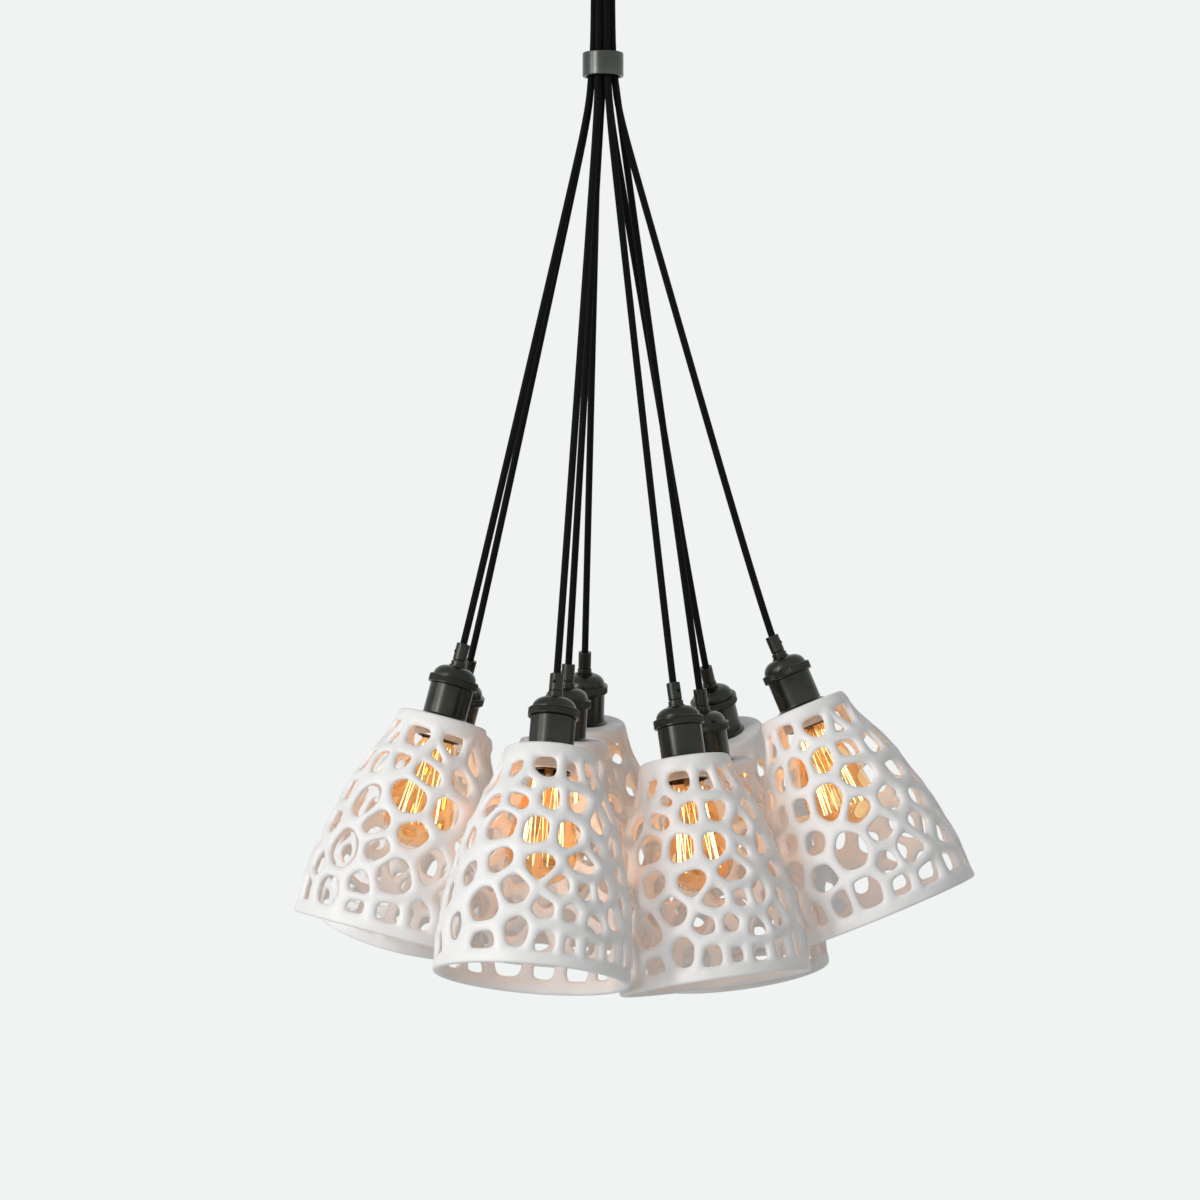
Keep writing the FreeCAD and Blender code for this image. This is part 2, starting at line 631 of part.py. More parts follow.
# A hole's cutter, in wall thicknesses: how far in from the wall's outside it starts, how long it is, and how
# far in it has the hole's own width
CUTTER_INSIDE = 3
CUTTER_LENGTH = 6
CUTTER_TAPER = 0.75
# A cell's reach as a share of the shade's height, and the shortest edge of a hole as a share of a strut
CELL_REACH = 0.25
LEAST_EDGE = 1 / 3
# The casting's sectors, the first one's start in degrees, and the wall's corner where its lower band begins
SECTOR_COUNT = 8
SECTOR_START = 7.0
BAND_CORNER = 3
FULL_TURN = 360.0


def wall_point(height_share):
    """Radius and depth of the wall's outside at a share of its height."""
    shoulder = size("shade_shoulder_radius").value
    swell = size("shade_rim_radius").value - shoulder
    for (low, low_share), (high, high_share) in zip(WALL_SHARES, WALL_SHARES[1:]):
        if height_share <= high:
            part = (height_share - low) / (high - low)
            return shoulder + swell * (low_share + part * (high_share - low_share))
    return shoulder + swell


def clip(polygon, normal, limit):
    """The part of a flat polygon on the near side of a line."""
    kept = []
    for index, corner in enumerate(polygon):
        after = polygon[(index + 1) % len(polygon)]
        here = corner[0] * normal[0] + corner[1] * normal[1] - limit
        there = after[0] * normal[0] + after[1] * normal[1] - limit
        if here <= 0:
            kept.append(corner)
        if here * there < 0:
            part = here / (here - there)
            kept.append(tuple(c + part * (a - c) for c, a in zip(corner, after)))
    return kept


def hole_outline(index):
    """The cell of points nearer to this hole's middle than to any other's, drawn in by half a strut."""
    height = size("shade_height").value
    half_strut = size("shade_strut").value / 2
    angle, share = HOLE_SHARES[index]
    reach = height * CELL_REACH
    depth = share * height
    top = size("shade_top_band").value - depth
    bottom = height - size("shade_rim_band").value - depth
    polygon = [(-reach, -reach), (reach, -reach), (reach, reach), (-reach, reach)]
    polygon = clip(polygon, (0, -1), -top)
    polygon = clip(polygon, (0, 1), bottom)
    for other, (other_angle, other_share) in enumerate(HOLE_SHARES):
        if other == index:
            continue
        turn = (other_angle - angle + 180) % 360 - 180
        across = math.radians(turn) * wall_point((share + other_share) / 2)
        along = (other_share - share) * height
        distance = math.hypot(across, along)
        if distance > 2 * reach:
            continue
        polygon = clip(polygon, (across / distance, along / distance), distance / 2 - half_strut)
    return polygon


def trimmed(polygon):
    """Drops corners that lie so close together that the casting would round them into one."""
    least = size("shade_strut").value * LEAST_EDGE
    kept = []
    for corner in polygon:
        if not kept or math.dist(corner, kept[-1]) > least:
            kept.append(corner)
    if len(kept) > 2 and math.dist(kept[0], kept[-1]) <= least:
        kept.pop()
    return kept


def hole_cutter(index):
    angle, share = HOLE_SHARES[index]
    outward = flat_direction(angle)
    across = Vector(-outward.y, outward.x, 0)
    radius = wall_point(share)
    wall = size("shade_wall").value
    start = radius - wall * CUTTER_INSIDE
    taper = (radius - wall * CUTTER_TAPER) / radius
    corners = []
    for x, y in trimmed(hole_outline(index)):
        middle = outward * start + Vector(0, 0, -share * size("shade_height").value)
        corners.append(middle + across * (x * taper) + Vector(0, 0, -y))
    return Part.Face(Part.makePolygon(corners + corners[:1])).extrude(outward * wall * CUTTER_LENGTH)


def make_shade():
    """The casting, parted into level bands and upright sectors that touch. Each one's hull stays near its
    own wall, so the inside stays open where hulls stand for the solids."""
    wall, swell = size("shade_wall"), size("shade_rim_radius") - size("shade_shoulder_radius")
    height, shoulder = size("shade_height"), size("shade_shoulder_radius")
    bore = size("tail_radius") + size("shade_bore_clearance")
    outside = [(shoulder + swell * radius_share, height * share) for share, radius_share in WALL_SHARES]
    inside = [(radius - wall, depth) for radius, depth in outside[1:]]
    cap = size("shade_top")
    outline = [(bore, ZERO)] + outside + inside[::-1] + [(shoulder - wall, cap), (bore, cap)]
    solid = turned("shade_wall_body", outline)
    holes = feature("shade_holes", Part.makeCompound([hole_cutter(i) for i in range(len(HOLE_SHARES))]))
    return parted(solid, holes, [ZERO, cap, height * WALL_SHARES[BAND_CORNER][0], height])


def parted(solid, holes, band_depths):
    pieces = []
    for band, (top, bottom) in enumerate(zip(band_depths, band_depths[1:])):
        for sector in range(SECTOR_COUNT):
            wedge = doc.addObject("Part::Cylinder", "shade_wedge_%d_%d" % (band, sector))
            bind(wedge, "Radius", size("shade_rim_radius") + size("overrun"))
            bind(wedge, "Height", bottom - top)
            wedge.Angle = FULL_TURN / SECTOR_COUNT
            turn = FreeCAD.Rotation(Vector(0, 0, 1), SECTOR_START + wedge.Angle.Value * sector)
            wedge.Placement = FreeCAD.Placement(Vector(0, 0, -bottom.value), turn)
            wedge.setExpression(".Placement.Base.z", (-bottom).text)
            cell = doc.addObject("Part::Common", "shade_cell_%d_%d" % (band, sector))
            cell.Base = solid
            cell.Tool = wedge
            pieces.append(cell if band == 0 else cut("shade_part_%d_%d" % (band, sector), cell, [holes]))
    return pieces


def make_lamps():
    grip = make_grip()
    socket, contact_depth = make_socket()
    base, glass = make_bulb(contact_depth)
    casting = make_shade()
    for name, lamp in LAMPS.items():
        placement = lamp_placement(lamp, 0)
        node("cord_grip_" + name, grip, placement)
        node("socket_" + name, socket, placement)
        node("bulb_base_" + name, base, placement)
        node("bulb_glass_" + name, glass, placement)
        seat = FreeCAD.Placement(Vector(0, 0, -shade_top.value), FreeCAD.Rotation())
        turn = lamp_placement(lamp, lamp["facing"] - lamp["bearing"])
        node("shade_" + name, casting, turn.multiply(seat))


make_canopy()
make_bar()
make_canopy_screws()
make_outlet()
make_collar()
node("cord_bundle", make_cords() + make_wire_caps())
make_lamps()
doc.recompute()

for item in doc.Objects:
    if "Invalid" in item.State or "Error" in item.State:
        raise RuntimeError("%s did not compute: %s" % (item.Name, item.State))
os.makedirs("parts", exist_ok=True)
for item in nodes:
    shape = item.Shape
    if shape.isNull() or not shape.isValid() or not shape.Solids:
        raise RuntimeError("%s has no valid shape" % item.Label)
    shape.exportStep("parts/%s.step" % item.Label)
print(len(nodes), "nodes,", sum(len(item.Shape.Solids) for item in nodes), "solids")
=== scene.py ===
import json
import math
import bmesh
import bpy
from mathutils import Matrix, Vector, noise

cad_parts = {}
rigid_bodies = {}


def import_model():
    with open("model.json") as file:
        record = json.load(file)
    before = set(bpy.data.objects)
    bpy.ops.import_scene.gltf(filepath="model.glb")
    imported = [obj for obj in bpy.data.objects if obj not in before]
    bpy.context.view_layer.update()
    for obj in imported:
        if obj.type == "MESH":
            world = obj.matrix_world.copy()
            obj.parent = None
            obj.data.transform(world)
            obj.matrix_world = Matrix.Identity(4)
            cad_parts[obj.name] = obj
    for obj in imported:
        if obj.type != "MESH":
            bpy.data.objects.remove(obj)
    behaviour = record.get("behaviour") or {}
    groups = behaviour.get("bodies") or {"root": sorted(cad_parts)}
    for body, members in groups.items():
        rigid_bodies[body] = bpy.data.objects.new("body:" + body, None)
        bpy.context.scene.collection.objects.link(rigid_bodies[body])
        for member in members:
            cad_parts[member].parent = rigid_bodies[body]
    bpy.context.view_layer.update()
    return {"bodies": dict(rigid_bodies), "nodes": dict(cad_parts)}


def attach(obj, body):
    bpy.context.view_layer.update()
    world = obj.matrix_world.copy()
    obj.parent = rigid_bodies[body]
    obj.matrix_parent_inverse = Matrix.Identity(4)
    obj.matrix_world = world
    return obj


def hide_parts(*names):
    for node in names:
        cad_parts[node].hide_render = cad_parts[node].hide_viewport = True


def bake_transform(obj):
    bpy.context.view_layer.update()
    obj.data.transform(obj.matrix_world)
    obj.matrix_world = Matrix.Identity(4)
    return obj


# Cluster pendant light: nine pierced ceramic bells on black cloth cords.
# Sizes in the dictionaries are millimetres; depth runs down from the top of a lamp's cord grip, or from the ceiling.


class Sizes(dict):
    # a dictionary of user values that can be read as names too
    __getattr__ = dict.__getitem__


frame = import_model()
scene = bpy.context.scene
mm = 0.001
tau = 2 * math.pi
print("frame loaded:", len(frame["nodes"]), "CAD nodes")


# Small helpers: objects and meshes
def linkedObject(name, data):
    made = bpy.data.objects.new(name, data)
    scene.collection.objects.link(made)
    return made


def meshObject(name, mesh, materials=()):
    mesh.name = name
    for material in materials:
        mesh.materials.append(material)
    return linkedObject(name, mesh)


def meshFrom(bm, smoothAngle=None):
    mesh = bpy.data.meshes.new("work")
    bm.to_mesh(mesh)
    bm.free()
    mesh.shade_smooth()
    if smoothAngle:
        mesh.set_sharp_from_angle(angle=math.radians(smoothAngle))
    return mesh


def bakedMesh(work):
    # the plain mesh that an object's modifiers make of it; the object itself goes
    done = bpy.data.meshes.new_from_object(work.evaluated_get(bpy.context.evaluated_depsgraph_get()))
    work.modifiers.clear()
    bpy.data.objects.remove(work)
    return done


rounding = Sizes(largestShare=0.45, onAxis=0.001, leastReach=0.02, longSide=8)


def roundedProfile(points, radius, steps=3):
    # each corner of a closed profile becomes a small arc, as a turned or cast edge has; a point just before and
    # after it keeps the long sides' shading flat
    done = []
    for index, corner in enumerate(points):
        here = Vector(corner)
        runIn, runOut = Vector(points[index - 1]) - here, Vector(points[(index + 1) % len(points)]) - here
        reach = min(radius, runIn.length * rounding.largestShare, runOut.length * rounding.largestShare)
        if corner[0] < rounding.onAxis or reach < rounding.leastReach:
            done.append(tuple(corner))
            continue
        start, end = here + runIn.normalized() * reach, here + runOut.normalized() * reach
        if runIn.length > reach * rounding.longSide:
            done.append(tuple(start + runIn.normalized() * reach))
        for step in range(steps + 1):
            share = step / steps
            done.append(tuple(start * (1 - share) ** 2 + here * 2 * share * (1 - share) + end * share ** 2))
        if runOut.length > reach * rounding.longSide:
            done.append(tuple(end + runOut.normalized() * reach))
    return done


def skin(bm, rings, radius=0.0, along=None, slot=0, flip=False):
    # faces between each ring of vertices and the next, triangles where a ring is one point; where the rings' places
    # along the surface are given, UV runs round and along it in metres
    layer = bm.loops.layers.uv.verify() if along else None
    made = []
    for index, (upper, lower) in enumerate(zip(rings, rings[1:])):
        for step in range(len(upper)):
            after = (step + 1) % len(upper)
            corners = {}
            for vertex, place in ((upper[step], (step, index)), (upper[after], (step + 1, index)),
                                  (lower[after], (step + 1, index + 1)), (lower[step], (step, index + 1))):
                corners.setdefault(vertex, place)
            kept = list(corners.items())
            if len(kept) < 3:
                continue
            if flip:
                kept = kept[:1] + kept[:0:-1]
            face = bm.faces.new([vertex for vertex, _ in kept])
            face.material_index = slot
            if along:
                for loop, (_, (around, ringAt)) in zip(face.loops, kept):
                    loop[layer].uv = (around / len(upper) * tau * radius, along[ringAt])
            made.append(face)
    return made


def addRing(bm, radii, depth, matrix=Matrix()):
    # a level ring of vertices, one for each radius
    ring = []
    for step, radius in enumerate(radii):
        angle = tau * step / len(radii)
        place = Vector((radius * mm * math.cos(angle), radius * mm * math.sin(angle), -depth * mm))
        ring.append(bm.verts.new(matrix @ place))
    return ring


def addFan(bm, ring, place):
    centre = bm.verts.new(place)
    for vertex, after in zip(ring, ring[1:] + ring[:1]):
        bm.faces.new((vertex, after, centre))


def addTurned(bm, profile, segments, slot=0, matrix=Matrix()):
    # turns a closed profile of (radius, depth) about the axis
    rings, along = [], [0.0]
    for (radius, depth), (nextRadius, nextDepth) in zip(profile, profile[1:] + profile[:1]):
        if radius < rounding.onAxis:
            rings.append([bm.verts.new(matrix @ Vector((0, 0, -depth * mm)))] * segments)
        else:
            rings.append(addRing(bm, [radius] * segments, depth, matrix))
        along.append(along[-1] + math.hypot(nextRadius - radius, nextDepth - depth) * mm)
    made = skin(bm, rings + rings[:1], max(radius for radius, _ in profile) * mm, along, slot)
    bmesh.ops.recalc_face_normals(bm, faces=made)
    return made


def addParts(bm, parts):
    # each part: outline, radius and steps of its rounded corners, segments round it, material's number
    return [addTurned(bm, roundedProfile(outline, radius, steps), segments, slot)
            for outline, radius, steps, segments, slot in parts]


def turnedMesh(*parts):
    bm = bmesh.new()
    addParts(bm, parts)
    return meshFrom(bm, 35)


def boxOutline(inner, outer, top, bottom):
    return [(inner, top), (outer, top), (outer, bottom), (inner, bottom)]


def quarterTurns(steps):
    angles = [math.radians(90 * step / steps) for step in range(steps + 1)]
    return [(math.sin(angle), math.cos(angle)) for angle in angles]


# Small helpers: node trees
def addNode(tree, kind, inputs, **settings):
    # adds one node with its settings; each of its inputs is a value, or the socket that feeds it
    made = tree.nodes.new(kind)
    for key, value in settings.items():
        setattr(made, key, value)
    for key, value in inputs.items():
        if isinstance(value, bpy.types.NodeSocket):
            tree.links.new(value, made.inputs[key])
        else:
            made.inputs[key].default_value = value
    return made


def sumsOf(tree):
    def calculate(operation, *values):
        # one sum in this tree, of numbers and sockets
        return addNode(tree, "ShaderNodeMath", dict(enumerate(values)), operation=operation).outputs["Value"]
    return calculate


def linearColour(hexValue):
    # an sRGB hex value as the linear colour that Blender's sockets take
    done = []
    for start in (1, 3, 5):
        value = int(hexValue[start:start + 2], 16) / 255
        done.append(value / 12.92 if value <= 0.04045 else ((value + 0.055) / 1.055) ** 2.4)
    return (*done, 1.0)


def newMaterial(name, values):
    material = bpy.data.materials.new(name)
    material.use_nodes = True
    shader = material.node_tree.nodes["Principled BSDF"]
    for key, value in values.items():
        shader.inputs[key].default_value = value
    return material, material.node_tree, shader


def colourRamp(tree, factor, stops):
    ramp = addNode(tree, "ShaderNodeValToRGB", {0: factor})
    for element, (place, hexValue) in zip(ramp.color_ramp.elements, stops):
        element.position = place
        element.color = linearColour(hexValue)
    return ramp.outputs["Color"]


# Fields that drive the materials: each gives a socket with a grey pattern
def noiseField(tree, scale, detail=2.0, vector=None):
    # scale is in features per metre of the piece
    if vector is None:
        vector = addNode(tree, "ShaderNodeTexCoord", {}).outputs["Object"]
    return addNode(tree, "ShaderNodeTexNoise", {"Scale": scale, "Detail": detail, "Vector": vector}).outputs["Fac"]


def turningLines(tree, spacing):
    # faint lines round a turned piece, about this far apart
    uv = addNode(tree, "ShaderNodeTexCoord", {}).outputs["UV"]
    stretched = addNode(tree, "ShaderNodeMapping", {"Scale": (12, 1 / spacing, 1), "Vector": uv})
    return noiseField(tree, 1.0, 3.0, stretched.outputs["Vector"])


def pinholes(tree, spacing, edge, level):
    # specks about this far apart, dark within edge and pale past level, both as shares of the spacing
    spot = addNode(tree, "ShaderNodeTexCoord", {}).outputs["Object"]
    cells = addNode(tree, "ShaderNodeTexVoronoi", {"Scale": 1 / spacing, "Vector": spot})
    return addNode(tree, "ShaderNodeMapRange", {
        "From Min": edge, "From Max": level, "Value": cells.outputs["Distance"]}).outputs["Result"]


def braid(tree, thread):
    # two crossing sets of threads, each this wide
    uv = addNode(tree, "ShaderNodeTexCoord", {}).outputs["UV"]
    waves = []
    for turn in (45, -45):
        way = addNode(tree, "ShaderNodeMapping", {"Rotation": (0, 0, math.radians(turn)), "Vector": uv})
        waves.append(addNode(tree, "ShaderNodeTexWave", {
            "Scale": tau / 20 / thread, "Distortion": 0.4, "Detail": 1.0, "Vector": way.outputs["Vector"],
        }).outputs["Fac"])
    return sumsOf(tree)("MAXIMUM", *waves)


def surface(name, tint, gloss=None, relief=(), values={}, tinted="Base Color"):
    # a material whose tint follows a field between two colours; gloss gives the roughness from a second field, and
    # relief stacks bumps of more fields, each with its strength and its height in metres
    material, tree, shader = newMaterial(name, values)
    (field, *sizes), *stops = tint
    tree.links.new(colourRamp(tree, field(tree, *sizes), stops), shader.inputs[tinted])
    if gloss:
        (field, *sizes), low, high = gloss
        rough = addNode(tree, "ShaderNodeMapRange", {"To Min": low, "To Max": high, "Value": field(tree, *sizes)})
        tree.links.new(rough.outputs["Result"], shader.inputs["Roughness"])
    below = {}
    for (field, *sizes), strength, height in relief:
        bump = addNode(tree, "ShaderNodeBump", {
            "Strength": strength, "Distance": height, "Height": field(tree, *sizes), **below})
        below = {"Normal": bump.outputs["Normal"]}
        tree.links.new(bump.outputs["Normal"], shader.inputs["Normal"])
    return material


# Materials
def satinGunmetal(name, dark, light):
    # turned steel with a black nickel plating: dark, satin, with faint turning lines and a broad soft highlight
    return surface(name, ((noiseField, 35.0), (0.35, dark), (0.7, light)), ((noiseField, 1 / 0.002, 4.0), 0.27, 0.34),
                   [((turningLines, 0.0006), 0.12, 0.0001)], {"Metallic": 1.0})


def brightMetal(name, dark, light, low, high, scratch):
    # a plain plated or bare metal: its tint wanders a little, and fine scratches break its gloss
    fine = (noiseField, 1 / scratch, 4.0)
    return surface(name, ((noiseField, 90.0, 3.0), (0.3, dark), (0.75, light)), (fine, low, high),
                   [(fine, 0.1, 0.0001)], {"Metallic": 1.0})


def mouldedPlastic(name, dark, light, roughness):
    # moulded phenolic or nylon: an even tint with a faint orange peel
    peel = (noiseField, 900.0)
    return surface(name, (peel, (0.3, dark), (0.7, light)), None, [(peel, 0.12, 0.0002)], {"Roughness": roughness})


gunmetal = satinGunmetal("satinGunmetal", "#333430", "#3F403B")
# painted highlight: the collar is the same plated steel, given a paler copy of the gunmetal so that it reads as
# brightly lit
paintedLightGunmetal = satinGunmetal("paintedLightSatinGunmetal", "#4A4B48", "#5A5B57")
blackScrew = brightMetal("blackenedScrewSteel", "#0B0B0A", "#161614", 0.35, 0.5, 0.002)
zincSteel = brightMetal("zincPlatedSteel", "#BABDBE", "#D2D5D4", 0.32, 0.45, 0.004)
nickelShell = brightMetal("nickelPlatedBrass", "#B9B3A2", "#D6D1C2", 0.25, 0.38, 0.003)
brass = brightMetal("springBrass", "#B08D45", "#C9A65A", 0.28, 0.4, 0.003)
phenolic = mouldedPlastic("blackPhenolic", "#161412", "#211E1B", 0.35)
orangeNylon = mouldedPlastic("orangeNylon", "#C2561C", "#D46A2A", 0.45)
# slip-cast bisque porcelain, rubbed smooth and left unglazed: matt white, faintly mottled, with tiny pinholes
porcelain = surface(
    "bisquePorcelain", ((noiseField, 1 / 0.03, 4.0), (0.3, "#EAE9E8"), (0.6, "#F3F2F1")), None,
    [((noiseField, 1 / 0.0009), 0.10, 0.0002), ((noiseField, 110.0, 1.0), 0.18, 0.0015),
     ((pinholes, 0.006, 0.03, 0.07), 0.3, 0.0003)], {"Roughness": 0.5, "IOR": 1.5})
# braided rayon over the flex: near black, its threads drawn 1.3 mm wide so that they show
blackCloth = surface("braidedBlackCloth", ((braid, 0.0013), (0.35, "#040404"), (1.0, "#0F0F0E")), None,
                     [((braid, 0.0013), 0.5, 0.0004)],
                     {"Roughness": 0.8, "Specular IOR Level": 0.1, "Sheen Weight": 0.02})
# blown lamp glass with an amber lustre; its IOR is low, for the view through a thin wall stays straight
lampGlass = surface("amberLampGlass", ((noiseField, 25.0, 1.0), (0.3, "#FFDDAE"), (0.7, "#FFE8C8")),
                    values={"Transmission Weight": 1.0, "Roughness": 0.02, "IOR": 1.3})
# the pressed glass stem inside the bulb
stemGlass = surface("clearStemGlass", ((noiseField, 120.0), (0.3, "#F3D9B0"), (0.7, "#FBEBD2")),
                    values={"Transmission Weight": 0.8, "Roughness": 0.08})
# tungsten at work: it shines a pale yellow
tungsten = surface("glowingTungsten", ((noiseField, 60.0), (0.3, "#FFE7A6"), (0.7, "#FFF6D6")),
                   values={"Base Color": linearColour("#C8A060"), "Emission Strength": 6.0}, tinted="Emission Color")
print("materials made")

# Where each lamp hangs: the same table and rules as the part's source
cluster = Sizes(drop=550, mouth=124, ring=11.5, slotTurn=21.75, slots=8, rimRadius=86, rimDepth=272, shadeDepth=70,
                leanRounds=40)
lampKeys = ("slot", "bearing", "rimShare", "dropShare", "lean", "facing")
lamps = {name: Sizes(zip(lampKeys, values)) for name, values in {
    "a": (4, 203.5, 2.343, 0.9535, 16.0, 30), "b": (3, 148.5, 2.547, 0.9845, 18.0, 200),
    "c": (5, 253.8, 2.395, 1.0, 16.3, 270), "d": (None, 162.5, 0.5845, 0.989, None, 90),
    "e": (2, 96.0, 2.114, 0.972, 12.0, 320), "f": (6, 309.0, 1.768, 1.0165, 12.5, 261),
    "g": (0, 22.5, 1.48, 1.0325, None, 230), "h": (1, 54.0, 3.13, 0.999, 23.3, 20),
    "i": (7, 348.0, 2.948, 0.941, 23.1, 150)}.items()}


def flatDirection(degrees):
    return Vector((math.cos(math.radians(degrees)), math.sin(math.radians(degrees)), 0))


def slotDirection(slot):
    return flatDirection(cluster.slotTurn + 360 / cluster.slots * slot)


def down(depth):
    return Vector((0, 0, -depth))


def placeLamp(lamp):
    # adds the lamp's pivot, grip top, axis and lean; a lamp that has no lean points its cord and shade alike
    pivot = down(cluster.mouth)
    if lamp.slot is not None:
        pivot += slotDirection(lamp.slot) * cluster.ring
    drop, rimReach = lamp.dropShare * cluster.drop, lamp.rimShare * cluster.rimRadius
    lean = math.radians(lamp.lean or 0.0)
    if lamp.lean is None:
        for _ in range(cluster.leanRounds):
            lean = math.atan2(rimReach - cluster.rimDepth * math.sin(lean), drop)
    outward = flatDirection(lamp.bearing)
    reach = rimReach - cluster.rimDepth * math.sin(lean)
    lamp.update(pivot=pivot, grip=pivot + outward * reach + down(drop),
                axis=outward * math.sin(lean) + down(math.cos(lean)), leanAngle=lean)


def lampMatrix(lamp, turn=0.0):
    rotation = Matrix.Rotation(math.radians(lamp.bearing), 4, "Z") @ Matrix.Rotation(-lamp.leanAngle, 4, "Y")
    return Matrix.Translation(lamp.grip * mm) @ rotation @ Matrix.Rotation(math.radians(turn), 4, "Z")


for lamp in lamps.values():
    placeLamp(lamp)

# Cords: each follows a NURBS spline through the route's points, from the canopy to its grip
cord = Sizes(radius=3.25, gap=0.15, top=7, splay=88, jointGap=0.3, lead=18, seat=12, sides=20, step=4.0,
             routeShares=((0.022, 0.055), (0.12, 0.16)), blendAbove=9, blendBelow=16, endShare=0.4, smoothAngle=50)


def upperRoute(slot):
    top, bottom = down(cord.top), down(cluster.mouth - cord.radius - cord.jointGap)
    if slot is None:
        return [top, bottom]
    side = slotDirection(slot)
    packed = (2 * cord.radius + cord.gap) / 2 / math.sin(math.pi / cluster.slots)
    return [top + side * packed, down(cord.splay) + side * packed, bottom + side * cluster.ring]


def lowerRoute(lamp):
    pivot, grip, axis = lamp.pivot, lamp.grip, lamp.axis
    end = grip + axis * cord.seat
    if lamp.lean is None:
        return [pivot, end]
    across = Vector((grip.x - pivot.x, grip.y - pivot.y, 0))
    points = [pivot + across * reach + down((pivot.z - grip.z) * drop) for reach, drop in cord.routeShares]
    return [pivot] + points + [grip - axis * cord.lead, end]


def splineLine(points):
    curve = bpy.data.curves.new("cordRoute", "CURVE")
    curve.dimensions = "3D"
    curve.resolution_u = 32
    spline = curve.splines.new("NURBS")
    spline.points.add(len(points) - 1)
    for control, place in zip(spline.points, points):
        control.co = (*(place * mm), 1)
    spline.order_u = 3
    spline.use_endpoint_u = True
    work = bpy.data.objects.new("cordRoute", curve)
    line = [vertex.co.copy() for vertex in bpy.data.meshes.new_from_object(work).vertices]
    bpy.data.objects.remove(work)
    return line


def evenLine(line, step):
    # the same line with its points a step apart
    done, carried = [line[0]], 0.0
    for start, end in zip(line, line[1:]):
        run = (end - start).length
        while carried + run >= step:
            start = start.lerp(end, (step - carried) / run)
            run = (end - start).length
            carried = 0.0
            done.append(start.copy())
        carried += run
    if (done[-1] - line[-1]).length < step * cord.endShare:
        done.pop()
    return done + [line[-1]]


def tubeMesh(line, radius, sides):
    bm = bmesh.new()
    rings, along = [], [0.0]
    normal = Vector((1, 0, 0))
    for index, place in enumerate(line):
        way = (line[min(index + 1, len(line) - 1)] - line[max(index - 1, 0)]).normalized()
        normal = (normal - way * normal.dot(way)).normalized()
        side = way.cross(normal)
        turns = [tau * number / sides for number in range(sides)]
        rings.append([bm.verts.new(place + (normal * math.cos(turn) + side * math.sin(turn)) * radius)
                      for turn in turns])
        if index:
            along.append(along[-1] + (place - line[index - 1]).length)
    skin(bm, rings, radius, along)
    addFan(bm, rings[0], line[0])
    addFan(bm, rings[-1], line[-1])
    bmesh.ops.recalc_face_normals(bm, faces=bm.faces)
    return meshFrom(bm, cord.smoothAngle), along[-1]


for name, lamp in lamps.items():
    line = evenLine(splineLine(upperRoute(lamp.slot) + lowerRoute(lamp)), cord.step * mm)
    mesh, length = tubeMesh(line, cord.radius * mm, cord.sides)
    tube = meshObject("cloth_cord_" + name, mesh, [blackCloth])
    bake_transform(tube)
    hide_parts("cord_" + name, "cord_bundle")
    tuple(line[0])
print("cords made")

# Ceramic bell: a quad mesh over the cells between the pierced holes, rounded by subdivision
bell = Sizes(height=202, rimRadius=86, shoulderRadius=41, wall=7, top=9, boreRadius=19.3, strut=11.8, leastStrut=6.4,
             topBand=13, rimBand=12, sampleStep=5.0, smoothing=2, squareness=2.5, drawnPart=0.45, drawnArea=3.4,
             lump=13.0, lumpHeight=0.6, insideLumps=1.6, sink=0.35, wander=0.08, wanderTurn=0.9, wanderSpread=7,
             wanderStart=3.7, ledge=2.0, flatSteps=400, cellHalf=1.3, farthest=2.6, same=2e-4, limiting=8)
wallShares = ((0.0, 0.0), (0.105, 0.115), (0.29, 0.49), (0.48, 0.735), (0.69, 0.935), (0.84, 1.0), (1.0, 1.0))
